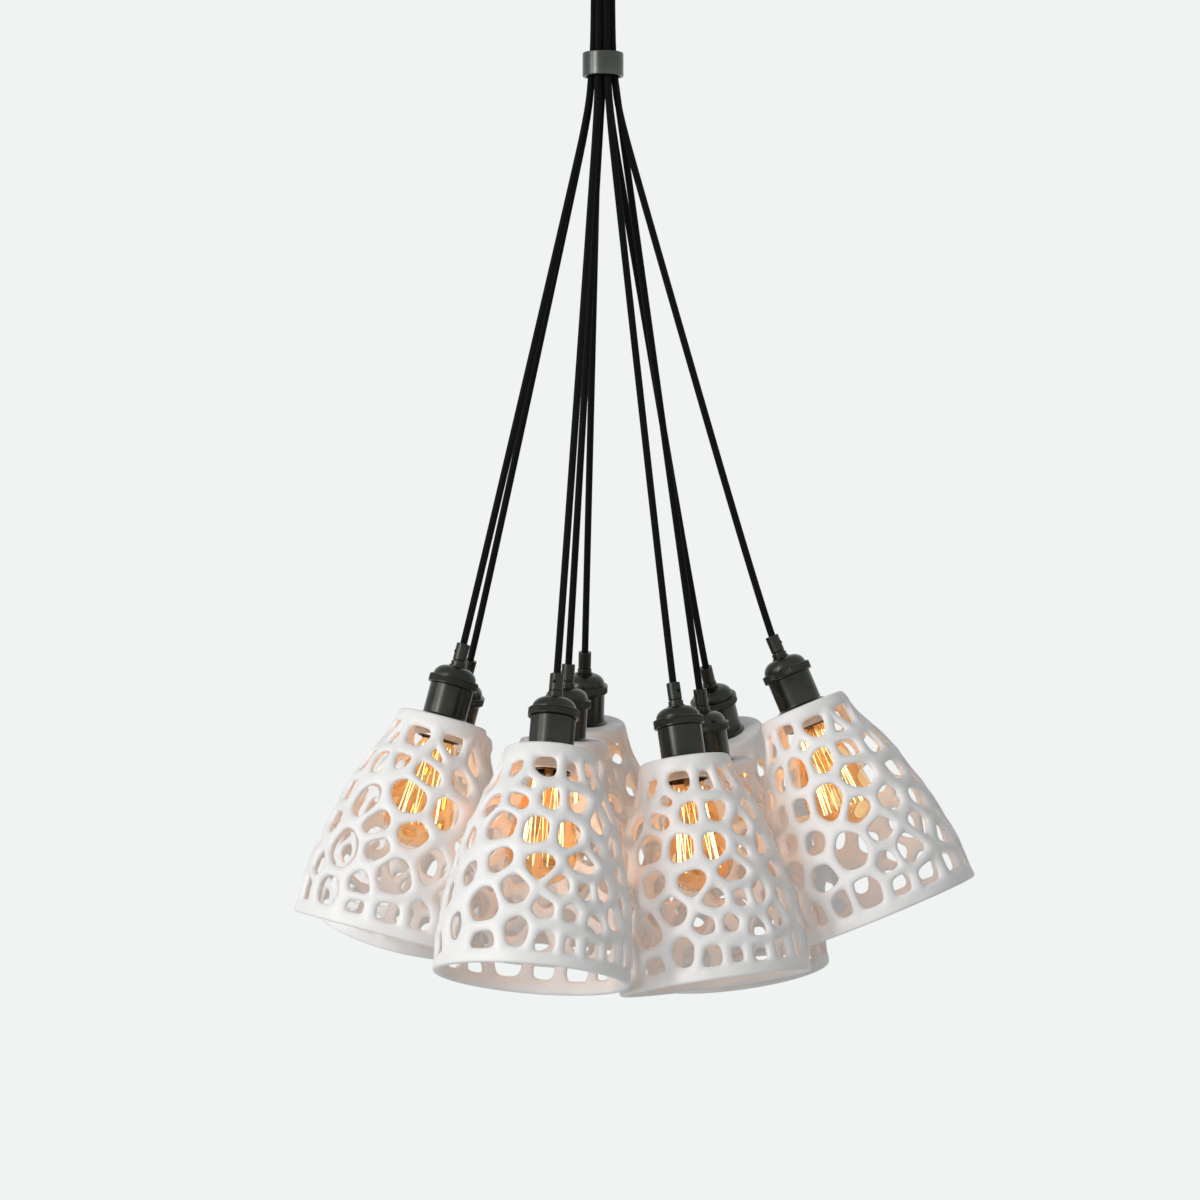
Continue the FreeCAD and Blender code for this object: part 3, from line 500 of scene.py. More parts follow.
# the holes, as drawn on the wall laid flat: middle (degrees round the casting, share of its height), half
# width in degrees, half height as a share, and tilt in degrees, positive where the right end is lower
holeShares = (
    (-38.7, 0.13, 8.2, 0.033, -15), (-1.8, 0.122, 15.3, 0.037, 0), (29.5, 0.133, 8.2, 0.042, 0),
    (57, 0.13, 11.5, 0.048, 0), (81.3, 0.105, 14.7, 0.042, 0), (121.8, 0.113, 18.3, 0.034, 0),
    (168, 0.11, 13, 0.04, 0), (217.4, 0.12, 18.8, 0.035, 0), (262.7, 0.122, 14.2, 0.036, 0),
    (-16.2, 0.198, 6.5, 0.018, 20), (147.8, 0.157, 4.9, 0.018, 0), (188.4, 0.15, 4.6, 0.022, 0),
    (292, 0.18, 10.4, 0.048, 0), (246.8, 0.183, 6.1, 0.016, 25), (102.9, 0.172, 4.6, 0.016, 0),
    (-48, 0.3, 8.6, 0.048, 0), (-22.6, 0.288, 10.9, 0.031, 12), (5.3, 0.265, 7.9, 0.049, 0),
    (29.1, 0.27, 10.1, 0.045, 0), (70, 0.27, 8.9, 0.048, 0), (89.5, 0.27, 8.9, 0.08, 0),
    (114.3, 0.258, 10.1, 0.055, 0), (142.3, 0.256, 9.5, 0.039, 8), (170, 0.27, 8.9, 0.048, 0),
    (191, 0.26, 9.1, 0.048, 0), (214.6, 0.237, 8.2, 0.028, 8), (240.9, 0.275, 13.6, 0.042, 18),
    (275, 0.268, 10.4, 0.044, 32), (48, 0.35, 8.2, 0.048, 0), (-31.4, 0.392, 13.9, 0.064, 14),
    (-3.9, 0.418, 9.3, 0.062, 0), (20.9, 0.427, 8.5, 0.06, 0), (63, 0.43, 7.7, 0.048, 0),
    (137.3, 0.378, 16.4, 0.05, 22), (107.9, 0.44, 11.5, 0.078, 0), (85, 0.43, 7.7, 0.048, 0),
    (172, 0.42, 7.7, 0.048, 0), (233.4, 0.385, 18.4, 0.06, 27), (263.7, 0.42, 10.1, 0.07, 0),
    (199.6, 0.455, 12.3, 0.068, -18), (296, 0.44, 7.6, 0.048, 0), (41.1, 0.462, 4.1, 0.024, 0),
    (-26.8, 0.556, 9.3, 0.052, -18), (0.9, 0.575, 10, 0.052, 0), (30.2, 0.54, 11.2, 0.042, 12),
    (125.7, 0.52, 9.8, 0.05, -28), (150.9, 0.525, 9, 0.052, 0), (87.7, 0.588, 7.5, 0.05, 0),
    (68.1, 0.55, 6.5, 0.038, 0), (215.4, 0.535, 9.8, 0.05, -25), (242.9, 0.55, 11.2, 0.055, 0),
    (175, 0.57, 7, 0.048, 0), (283, 0.55, 7.1, 0.048, 0), (45.5, 0.655, 5.7, 0.048, 0),
    (310, 0.61, 6.9, 0.048, 0), (-13.7, 0.685, 10.9, 0.052, 28), (13.9, 0.656, 9.3, 0.032, 0),
    (31.3, 0.662, 4.6, 0.036, 0), (133.6, 0.637, 9.5, 0.045, 0), (110, 0.68, 10.6, 0.084, 15),
    (198.6, 0.68, 12.6, 0.086, 15), (223.6, 0.645, 8.5, 0.047, -20), (260.9, 0.662, 8.9, 0.078, 0),
    (290, 0.68, 6.6, 0.048, 0), (66, 0.68, 6.6, 0.048, 0), (162, 0.67, 6.7, 0.048, 0),
    (-31.8, 0.755, 10.6, 0.074, 20), (5.9, 0.76, 7.4, 0.039, 0), (21.8, 0.768, 4.6, 0.037, 0),
    (39.1, 0.8, 6.8, 0.033, 0), (54, 0.75, 6.5, 0.048, 0), (86.1, 0.745, 10.2, 0.057, 0),
    (146.1, 0.765, 10.1, 0.06, -25), (180, 0.77, 6.5, 0.048, 0), (238.2, 0.745, 11.5, 0.078, 0),
    (219.1, 0.812, 6.5, 0.05, 0), (275, 0.78, 6.4, 0.048, 0), (129.1, 0.785, 6.5, 0.045, 0),
    (-54, 0.83, 6.4, 0.048, 0), (-29.8, 0.9, 8.5, 0.033, 0), (-9.3, 0.862, 6.8, 0.062, 15),
    (8, 0.898, 6.1, 0.042, 0), (23, 0.905, 3.4, 0.03, 0), (38.1, 0.904, 4.5, 0.033, 0),
    (54.1, 0.893, 5.2, 0.042, 0), (72, 0.88, 6.4, 0.048, 0), (91.8, 0.868, 6.1, 0.06, 0),
    (110, 0.87, 8.7, 0.062, 0), (131.7, 0.888, 5.5, 0.042, 0), (150.9, 0.895, 8.9, 0.038, 0),
    (174, 0.88, 6.4, 0.048, 0), (196.6, 0.865, 9.8, 0.057, 0), (220, 0.905, 5.7, 0.026, 0),
    (241.3, 0.9, 9.5, 0.033, 0), (260.4, 0.88, 6.1, 0.063, -12), (284, 0.89, 6.4, 0.048, 0),
)
# a hole's edge in section: share of the way to the hole's waist, and share of the wall's thickness
edgeRings = ((0.26, 0.01), (0.58, 0.08), (0.86, 0.25), (1.0, 0.55), (0.84, 0.86), (0.45, 0.99))


def wallSlopes():
    # slopes of a smooth curve through the wall's points that never overshoots them
    steps = [(b[1] - a[1]) / (b[0] - a[0]) for a, b in zip(wallShares, wallShares[1:])]
    slopes = [steps[0]]
    for before, after in zip(steps, steps[1:]):
        slopes.append(0.0 if before * after <= 0 else 2 * before * after / (before + after))
    return slopes + [steps[-1]]


wallTangents = wallSlopes()


def wallRadius(share):
    share = min(max(share, 0.0), 1.0)
    for index, ((low, lowShare), (high, highShare)) in enumerate(zip(wallShares, wallShares[1:])):
        if share <= high:
            run = high - low
            t = (share - low) / run
            value = (lowShare * (1 + 2 * t) * (1 - t) ** 2 + wallTangents[index] * run * t * (1 - t) ** 2
                     + highShare * t * t * (3 - 2 * t) + wallTangents[index + 1] * run * t * t * (t - 1))
            return bell.shoulderRadius + (bell.rimRadius - bell.shoulderRadius) * value


# The wall is laid flat so that shapes keep their proportions: x is the angle, y grows with depth over radius.
flatTable = [0.0]
for index in range(bell.flatSteps):
    flatTable.append(flatTable[-1] + bell.height / bell.flatSteps / wallRadius((index + 0.5) / bell.flatSteps))


def flatHeight(share):
    place = min(max(share, 0.0), 1.0) * bell.flatSteps
    low = min(int(place), bell.flatSteps - 1)
    return flatTable[low] + (flatTable[low + 1] - flatTable[low]) * (place - low)


def heightShare(flat):
    low, high = 0, bell.flatSteps
    while high - low > 1:
        middle = (low + high) // 2
        low, high = (middle, high) if flatTable[middle] <= flat else (low, middle)
    return (low + (flat - flatTable[low]) / (flatTable[high] - flatTable[low])) / bell.flatSteps


def sidesOf(polygon):
    return zip(polygon, polygon[1:] + polygon[:1])


def between(start, end, share):
    return (start[0] + (end[0] - start[0]) * share, start[1] + (end[1] - start[1]) * share)


def clipPolygon(polygon, normal, limit):
    kept = []
    for corner, after in sidesOf(polygon):
        here = corner[0] * normal[0] + corner[1] * normal[1] - limit
        there = after[0] * normal[0] + after[1] * normal[1] - limit
        if here <= 0:
            kept.append(corner)
        if here * there < 0:
            kept.append(between(corner, after, here / (here - there)))
    return kept


def bandLines(inset):
    # the heights on the flat wall where the cells start and end, drawn in by the inset
    return (flatHeight((bell.topBand - bell.strut / 2 + inset) / bell.height),
            flatHeight(1 - (bell.rimBand - bell.strut / 2 + inset) / bell.height))


def cellPolygon(index, seeds, inset):
    # the points that belong to this hole, larger holes claiming more, drawn in by the inset
    x, y, size = seeds[index]
    top, bottom = bandLines(inset)
    left, right = x - bell.cellHalf, x + bell.cellHalf
    polygon = [(left, top), (right, top), (right, bottom), (left, bottom)]
    for other, (otherX, otherY, otherSize) in enumerate(seeds):
        for turn in (-tau, 0, tau):
            across, along = otherX + turn - x, otherY - y
            distance = math.hypot(across, along)
            if (other == index and turn == 0) or distance > bell.farthest:
                continue
            normal = (across / distance, along / distance)
            middle = x * normal[0] + y * normal[1] + (distance ** 2 + size ** 2 - otherSize ** 2) / 2 / distance
            polygon = clipPolygon(polygon, normal, middle - inset / wallRadius(heightShare(y + along / 2)))
    return polygon


def areaOf(polygon):
    return abs(sum(x0 * y1 - x1 * y0 for (x0, y0), (x1, y1) in sidesOf(polygon))) / 2


def rayTo(polygon, start, target):
    # the way from start, towards target, to the polygon's edge
    dx, dy = target[0] - start[0], target[1] - start[1]
    best = math.inf
    for (x0, y0), (x1, y1) in sidesOf(polygon):
        ex, ey = x1 - x0, y1 - y0
        under = dx * ey - dy * ex
        if abs(under) < 1e-12:
            continue
        t = ((x0 - start[0]) * ey - (y0 - start[1]) * ex) / under
        s = ((x0 - start[0]) * dy - (y0 - start[1]) * dx) / under
        if t > 0 and -1e-9 <= s <= 1 + 1e-9:
            best = min(best, t)
    return (dx * best, dy * best)


def drawnReach(hole, way):
    # how many times this way on the flat wall fits between the hole's middle and its drawn edge
    _, share, halfWidth, halfHeight, tilt = hole
    x, y = way[0] * bell.rimRadius, way[1] * wallRadius(share)
    turned = math.radians(tilt)
    along, across = x * math.cos(turned) + y * math.sin(turned), y * math.cos(turned) - x * math.sin(turned)
    return ((abs(along) / math.radians(halfWidth) / bell.rimRadius) ** bell.squareness
            + (abs(across) / halfHeight / bell.height) ** bell.squareness) ** (-1 / bell.squareness)


def holeLoop(hole, seed, places, least):
    # the hole's outline lies between its cell's shape and the drawn one, with the drawn one's area, and stays in
    # its least struts; its corners are rounded and its edge wanders a little
    middleX, middleY, size = seed
    ways = [rayTo(least, seed, place) for place in places]
    reaches = [drawnReach(hole, way) ** bell.drawnPart for way in ways]
    area = areaOf([(x * reach, y * reach) for (x, y), reach in zip(ways, reaches)])
    grow = math.sqrt(bell.drawnArea * size ** 2 / area)
    loop = []
    for (x, y), reach in zip(ways, reaches):
        share = (1 + (reach * grow) ** -bell.limiting) ** (-1 / bell.limiting)
        loop.append((middleX + x * share, middleY + y * share))
    area = areaOf(loop)
    for _ in range(bell.smoothing):
        loop = [((a[0] + 2 * b[0] + c[0]) / 4, (a[1] + 2 * b[1] + c[1]) / 4)
                for a, b, c in zip(loop[-1:] + loop[:-1], loop, loop[1:] + loop[:1])]
    grow = math.sqrt(area / areaOf(loop))
    done = []
    for x, y in loop:
        dx, dy = x - middleX, y - middleY
        start = Vector((middleX * bell.wanderSpread, middleY * bell.wanderSpread, bell.wanderStart))
        turn = Vector((dx, dy, 0)).normalized() * bell.wanderTurn
        pull = grow * (1 + bell.wander * noise.noise(turn + start))
        done.append((middleX + dx * pull, middleY + dy * pull))
    return done


def bellMesh():
    bm = bmesh.new()
    seeds = []
    for angle, share, halfWidth, halfHeight, _ in holeShares:
        size = math.sqrt(math.radians(halfWidth) * halfHeight * bell.height / wallRadius(share))
        seeds.append((math.radians(angle), flatHeight(share), size))
    points, corners, ridges, shared = [], [], {}, {}

    def surfacePoint(flat, thicknessShare, depthShift=0.0):
        share = heightShare(flat[1])
        radius = (wallRadius(share) - bell.wall * thicknessShare) * mm
        outward = Vector((math.cos(flat[0]), math.sin(flat[0]), 0))
        depth = (share * bell.height + depthShift) * mm
        place = Vector((radius * math.cos(flat[0]), radius * math.sin(flat[0]), -depth))
        lump = noise.noise(place / mm / bell.lump) * bell.lumpHeight * (1 - bell.insideLumps * thicknessShare)
        return place + outward * (lump - bell.sink) * mm

    def cornerNumber(point):
        for index in corners:
            turn = (points[index][0] - point[0] + math.pi) % tau - math.pi
            if abs(turn) < bell.same and abs(points[index][1] - point[1]) < bell.same:
                return index
        corners.append(len(points))
        points.append(point)
        return corners[-1]

    def ridgeRun(start, end):
        # the numbers of the shared points on the line between two cells, from corner to corner
        first, last = cornerNumber(start), cornerNumber(end)
        key = (min(first, last), max(first, last))
        if key not in ridges:
            a, b = (start, end) if first < last else (end, start)
            scale = wallRadius(heightShare((a[1] + b[1]) / 2))
            count = max(1, round(math.hypot(b[0] - a[0], b[1] - a[1]) * scale / bell.sampleStep))
            ridges[key] = [key[0], *range(len(points), len(points) + count - 1), key[1]]
            points.extend(between(a, b, step / count) for step in range(1, count))
        return ridges[key] if first <= last else ridges[key][::-1]

    def ridgeRing(run, level):
        # the shared vertices over these points, outside (level 0) or inside (level 1)
        for number in run:
            flat = points[number]
            if (number, level) not in shared:
                atTop = level == 1 and flat[1] < flatHeight(bell.topBand / bell.height)
                shift = bell.top + bell.ledge - heightShare(flat[1]) * bell.height if atTop else 0.0
                shared[(number, level)] = bm.verts.new(surfacePoint(flat, level, shift))
        return [shared[(number, level)] for number in run]

    bandRuns = ([], [])
    for index, (hole, seed) in enumerate(zip(holeShares, seeds)):
        run, places = [], []
        for start, end in sidesOf(cellPolygon(index, seeds, 0.0)):
            if math.dist(start, end) < bell.same:
                continue
            ridge = ridgeRun(start, end)
            run += ridge[:-1]
            places += [between(start, end, step / (len(ridge) - 1)) for step in range(len(ridge) - 1)]
            for line, runs in zip(bandLines(0.0), bandRuns):
                if abs(start[1] - line) < 1e-6 and abs(end[1] - line) < 1e-6:
                    runs.append((min(start[0], end[0]), ridge if start[0] < end[0] else ridge[::-1]))
        loop = holeLoop(hole, seed, places, cellPolygon(index, seeds, bell.leastStrut / 2))
        rings = [ridgeRing(run, 0)]
        for share, thickness in edgeRings:
            rings.append([bm.verts.new(surfacePoint(between(place, edge, share), thickness))
                          for place, edge in zip(places, loop)])
        skin(bm, rings + [ridgeRing(run, 1)])

    def bridge(runs, profile):
        # closes the casting over a profile, from its outside to its inside
        run = [number for _, ridge in sorted(runs, key=lambda item: item[0] % tau) for number in ridge[:-1]]
        rings = [ridgeRing(run, 0)]
        for radius, depth in profile:
            rings.append([bm.verts.new((radius * mm * math.cos(points[number][0]),
                                        radius * mm * math.sin(points[number][0]), -depth * mm)) for number in run])
        skin(bm, rings + [ridgeRing(run, 1)])

    shoulder, bore, top = bell.shoulderRadius, bell.boreRadius, bell.top
    bridge(bandRuns[0], ((shoulder, 3.4), (shoulder - 0.9, 0.7), (shoulder - 4, 0), (bore + 8, 0), (bore + 0.8, 0),
                         (bore, 0.8), (bore, top - 0.8), (bore + 0.8, top), (shoulder - 13, top)))
    rim, wall, height = bell.rimRadius, bell.wall, bell.height
    bridge(bandRuns[1], ((rim, height - 2.2), (rim - 0.7, height - 0.4), (rim - wall / 2, height),
                         (rim - wall + 0.7, height - 0.4), (rim - wall, height - 2.2)))
    bmesh.ops.recalc_face_normals(bm, faces=bm.faces)
    work = linkedObject("work", meshFrom(bm))
    modifier = work.modifiers.new("round", "SUBSURF")
    modifier.levels = modifier.render_levels = 1
    return bakedMesh(work)


bellMaster = bellMesh()
print("bell made:", len(bellMaster.polygons), "faces")

# Lampholder, cord grip and bulb, each made once upright
holder = Sizes(gripRadius=6.2, gripHeight=16, gripBore=3.5, nutRadius=6.8, domeTop=20.8, neckRadius=8, neckHeight=1.2,
               domeRadius=19.8, domeEnd=32.4, bandRadius=22.8, bandEnd=40.2, barrelRadius=20, barrelEnd=68,
               skirtRadius=23, shadeTop=70, tailRadius=18.9, tailEnd=90, wall=1.6, ringRadius=23.2, ringTop=79,
               ringEnd=89, insertTop=41.8, insertEnd=59.8, insertBore=14.5, shellRadius=14.3, shellWall=0.6,
               shellTop=47.8, shellEnd=72.8, contactEnd=49.0, contactRadius=4, screwDepth=8, screwRadius=1.5,
               screwStand=0.4, screwSlot=0.56, groove=0.7, knurlSink=0.45, knurlMargin=1.5, segments=96)


def gripMesh():
    h = holder
    bm = bmesh.new()
    waist, nutTop = h.gripRadius - h.groove, h.gripHeight + 0.5
    outline = [(h.gripBore, 0.0), (h.gripRadius, 0.0), (h.gripRadius, h.gripHeight - 0.6),
               (waist, h.gripHeight - 0.3), (waist, nutTop), (h.nutRadius, nutTop), (h.nutRadius, h.domeTop),
               (0.0, h.domeTop), (0.0, h.gripHeight), (h.gripBore, h.gripHeight)]
    addTurned(bm, roundedProfile(outline, 0.4), 48)
    # set screw: a slotted grub screw that stands a little proud
    foot, head = -h.gripBore - 0.5, -h.gripRadius - h.screwStand
    screw = [(0.0, foot), (h.screwRadius, foot), (h.screwRadius, head), (h.screwSlot, head),
             (h.screwSlot, head + 0.7), (0.0, head + 0.7)]
    out = Matrix.Translation(down(h.screwDepth * mm)) @ Matrix.Rotation(math.radians(-90), 4, "Y")
    addTurned(bm, roundedProfile(screw, 0.15, 2), 24, 1, out @ Matrix.Rotation(math.pi, 4, "X"))
    return meshFrom(bm, 35)


def holderMesh():
    h = holder
    # the cap's crown: a convex quarter round from its neck out to the knurled band
    domeStart = h.domeTop + h.neckHeight
    dome = [(h.neckRadius + (h.domeRadius - h.neckRadius) * sine, domeStart + (h.domeEnd - domeStart) * (1 - cosine))
            for sine, cosine in quarterTurns(12)]
    inner = [(max(radius - h.wall, 0.0), depth + h.wall) for radius, depth in dome]
    margin = h.knurlMargin
    step, bed, edge = h.bandRadius - 0.7, h.bandRadius - h.knurlSink, h.bandRadius - 0.05
    crown = [(0.0, h.domeTop), (h.neckRadius, h.domeTop), *dome, (step, h.domeEnd), (h.bandRadius, h.domeEnd + 0.7),
             (edge, h.domeEnd + 1.3), (bed, h.domeEnd + margin), (bed, h.bandEnd - margin), (edge, h.bandEnd - 1.3),
             (h.bandRadius, h.bandEnd - 0.6), (step, h.bandEnd), (h.barrelRadius - h.wall, h.bandEnd),
             *inner[::-1], (0.0, inner[0][1])]
    tail = h.tailRadius - h.wall
    barrel = [(tail, h.bandEnd), (h.barrelRadius, h.bandEnd), (h.barrelRadius, h.barrelEnd - 0.6),
              (h.barrelRadius + 0.35, h.barrelEnd), (h.skirtRadius, h.shadeTop - 0.7), (h.skirtRadius, h.shadeTop),
              (h.tailRadius, h.shadeTop), (h.tailRadius, h.tailEnd), (tail, h.tailEnd)]
    bed, thread = h.ringRadius - h.knurlSink, h.tailRadius + 0.1
    ring = [(thread, h.ringTop), (h.ringRadius, h.ringTop), (h.ringRadius, h.ringTop + 1.2), (bed, h.ringTop + margin),
            (bed, h.ringEnd - margin), (h.ringRadius, h.ringEnd - 1.2), (h.ringRadius, h.ringEnd), (thread, h.ringEnd)]
    insert = [(0.0, h.insertTop), (tail - 0.1, h.insertTop), (tail - 0.1, h.insertEnd), (h.insertBore, h.insertEnd),
              (h.insertBore, h.shellTop), (0.0, h.shellTop)]
    shell = boxOutline(h.shellRadius - h.shellWall, h.shellRadius, h.shellTop, h.shellEnd)
    tongue = [(0.0, h.shellTop), (h.contactRadius, h.shellTop), (h.contactRadius, h.contactEnd - 0.3),
              (h.contactRadius * 0.65, h.contactEnd), (0.0, h.contactEnd)]
    return turnedMesh((crown, 0.0, 2, h.segments, 0), (barrel, 0.3, 2, h.segments, 0), (ring, 0.35, 2, h.segments, 1),
                      (insert, 0.5, 2, 64, 2), (shell, 0.2, 2, 64, 3), (tongue, 0.3, 2, 32, 3))


# Geometry Nodes: a tree makes the studs of a knurl, and another the zigzag of a filament
def nodeTree(name, numbers, lengths):
    tree = bpy.data.node_groups.new(name, "GeometryNodeTree")
    kinds = {**dict.fromkeys(numbers, "Int"), **dict.fromkeys(lengths, "Float"), "Material": "Material"}
    sockets = {label: tree.interface.new_socket(label, in_out="INPUT", socket_type="NodeSocket" + kind).identifier
               for label, kind in kinds.items()}
    tree.interface.new_socket("Geometry", in_out="OUTPUT", socket_type="NodeSocketGeometry")
    return tree, sockets, addNode(tree, "NodeGroupInput", {}).outputs


def ringPlace(tree, radius, angle, depth):
    calculate = sumsOf(tree)
    return addNode(tree, "ShaderNodeCombineXYZ", {
        0: calculate("MULTIPLY", radius, calculate("COSINE", angle)),
        1: calculate("MULTIPLY", radius, calculate("SINE", angle)),
        2: calculate("MULTIPLY", depth, -1)}).outputs[0]


def finishTree(tree, geometry, material):
    real = addNode(tree, "GeometryNodeRealizeInstances", {0: geometry})
    painted = addNode(tree, "GeometryNodeSetMaterial", {"Geometry": real.outputs[0], "Material": material})
    addNode(tree, "NodeGroupOutput", {0: painted.outputs[0]})


def grownMesh(tree, sockets, values):
    # runs a tree on an empty mesh with these inputs
    work = linkedObject("grown", bpy.data.meshes.new("grown"))
    modifier = work.modifiers.new("grow", "NODES")
    modifier.node_group = tree
    for label, value in values.items():
        modifier[sockets[label]] = value
    work.update_tag()
    bpy.context.view_layer.update()
    return bakedMesh(work)


# diamond knurl: rows of small four-sided studs round a ring, every other row half a pitch on
knurl = Sizes(columns=76, rowPitch=0.95, width=1.0, height=0.42)


def knurlTree():
    tree, sockets, given = nodeTree("diamondKnurl", ("Columns", "Rows"), (
        "Ring Radius", "Top Depth", "Row Pitch", "Stud Width", "Stud Height"))
    calculate = sumsOf(tree)
    index = addNode(tree, "GeometryNodeInputIndex", {}).outputs["Index"]
    row = calculate("FLOOR", calculate("DIVIDE", index, given["Columns"]))
    column = calculate("MODULO", index, given["Columns"])
    shifted = calculate("ADD", column, calculate("MULTIPLY", calculate("MODULO", row, 2), 0.5))
    angle = calculate("MULTIPLY", calculate("DIVIDE", shifted, given["Columns"]), tau)
    depth = calculate("ADD", given["Top Depth"], calculate("MULTIPLY", row, given["Row Pitch"]))
    count = calculate("MULTIPLY", given["Columns"], given["Rows"])
    points = addNode(tree, "GeometryNodePoints", {
        "Count": count, "Position": ringPlace(tree, given["Ring Radius"], angle, depth)})
    stud = addNode(tree, "GeometryNodeMeshCone", {
        "Vertices": 4, "Radius Top": 0.0, "Radius Bottom": given["Stud Width"], "Depth": given["Stud Height"],
    }, fill_type="NGON")
    turned = addNode(tree, "ShaderNodeCombineXYZ", {1: math.pi / 2, 2: angle})
    rotation = addNode(tree, "FunctionNodeEulerToRotation", {0: turned.outputs[0]})
    studs = addNode(tree, "GeometryNodeInstanceOnPoints", {
        "Points": points.outputs[0], "Instance": stud.outputs["Mesh"], "Rotation": rotation.outputs[0]})
    finishTree(tree, studs.outputs[0], given["Material"])
    return tree, sockets


knurlNodes = knurlTree()


def knurlMesh(radius, top, bottom, material):
    top, bottom = top + holder.knurlMargin, bottom - holder.knurlMargin
    rows = max(1, int((bottom - top) / knurl.rowPitch))
    start = (top + bottom) / 2 - (rows - 1) / 2 * knurl.rowPitch
    return grownMesh(*knurlNodes, {
        "Columns": knurl.columns, "Rows": rows, "Ring Radius": (radius - holder.knurlSink) * mm,
        "Top Depth": start * mm, "Row Pitch": knurl.rowPitch * mm, "Stud Width": knurl.width * mm,
        "Stud Height": knurl.height * mm, "Material": material})


# Bulb: a screw base, a blown envelope, and inside it a stem, a post and a cage of filament
bulb = Sizes(tipTop=49.3, tipEnd=51.5, threadTop=55.5, threadEnd=74.0, baseEnd=76.5, baseRadius=13.1, tipRadius=4.6,
             threadPitch=3.62, threadRings=4, crest=0.75, neckRadius=12.9, neckLength=8, neckPower=1.15,
             neckLift=0.03, radius=32, length=113, belly=82, wall=1.0, steps=14, stemRadius=4, stemLength=24,
             postRadius=0.9, postLength=74, filamentStart=20, filamentLength=73, crown=13, cage=19, wire=0.35,
             legs=18)


def glassProfile(inset):
    b = bulb
    neckEnd, belly = b.baseEnd + b.neckLength, b.baseEnd + b.belly
    bottom = b.baseEnd + b.length - inset
    points = [(b.neckRadius - inset, b.baseEnd)]
    for step in range(b.steps + 1):
        share = step / b.steps
        swell, lift = math.sin(share * math.pi / 2), share + b.neckLift * math.sin(share * math.pi)
        widened = (swell + lift ** b.neckPower) / 2
        points.append((b.neckRadius + (b.radius - b.neckRadius) * widened - inset,
                       neckEnd + (belly - neckEnd) * share))
    for sine, cosine in quarterTurns(b.steps)[1:-1]:
        points.append(((b.radius - inset) * cosine, belly + (bottom - belly) * sine))
    return points + [(0.0, bottom)]


def envelopeMesh():
    bm = bmesh.new()
    addTurned(bm, glassProfile(0.0) + glassProfile(bulb.wall)[::-1], 64)
    bmesh.ops.remove_doubles(bm, verts=bm.verts, dist=1e-7)
    return meshFrom(bm, 60)


def addThread(bm, segments):
    # a rolled round thread: a helical wave in the base's wall
    b = bulb
    long = b.threadEnd - b.threadTop
    count = max(2, round(long / b.threadPitch * b.threadRings))
    rings = []
    for row in range(count + 1):
        depth = b.threadTop + long * row / count
        fade = min(1, (depth - b.threadTop) / b.threadPitch, (b.threadEnd - depth) / b.threadPitch)
        waves = [0.5 + 0.5 * math.cos(tau * (depth / b.threadPitch - step / segments)) for step in range(segments)]
        rings.append(addRing(bm, [b.baseRadius - b.crest * (1 - wave) * fade for wave in waves], depth))
    skin(bm, rings, b.baseRadius * mm, [row / count * long * mm for row in range(count + 1)], flip=True)
    addFan(bm, rings[0][::-1], down(b.threadTop * mm))
    addFan(bm, rings[-1], down(b.threadEnd * mm))


def baseMesh():
    b = bulb
    stemEnd = b.baseEnd + b.stemLength
    postEnd, bead = stemEnd + b.postLength, b.postRadius * 1.6
    tip = [(0.0, b.tipTop), (b.tipRadius * 0.6, b.tipTop), (b.tipRadius, b.tipTop + 0.8), (b.tipRadius, b.tipEnd),
           (0.0, b.tipEnd)]
    collar = [(0.0, b.tipEnd), (b.tipRadius, b.tipEnd), (b.baseRadius - 2.2, b.threadTop - 0.4),
              (b.baseRadius - 2.2, b.threadTop), (0.0, b.threadTop)]
    lip = boxOutline(b.neckRadius - 2, b.baseRadius, b.threadEnd, b.baseEnd)
    stem = [(0.0, b.baseEnd), (b.neckRadius - 1.2, b.baseEnd), (b.stemRadius + 2, b.baseEnd + 3),
            (b.stemRadius, b.baseEnd + 9), (b.stemRadius * 0.62, stemEnd - 2), (b.stemRadius * 0.5, stemEnd),
            (0.0, stemEnd)]
    post = [(0.0, stemEnd), (b.postRadius, stemEnd), (b.postRadius, postEnd - 1), (bead, postEnd - 0.6),
            (bead, postEnd), (0.0, postEnd)]
    bm = bmesh.new()
    addParts(bm, ((tip, 0.4, 2, 32, 0), (collar, 0.3, 2, 48, 1)))
    addThread(bm, 48)
    addParts(bm, ((lip, 0.3, 2, 48, 0), (stem, 0.8, 3, 32, 2), (post, 0.25, 2, 16, 2)))
    return meshFrom(bm, 40)


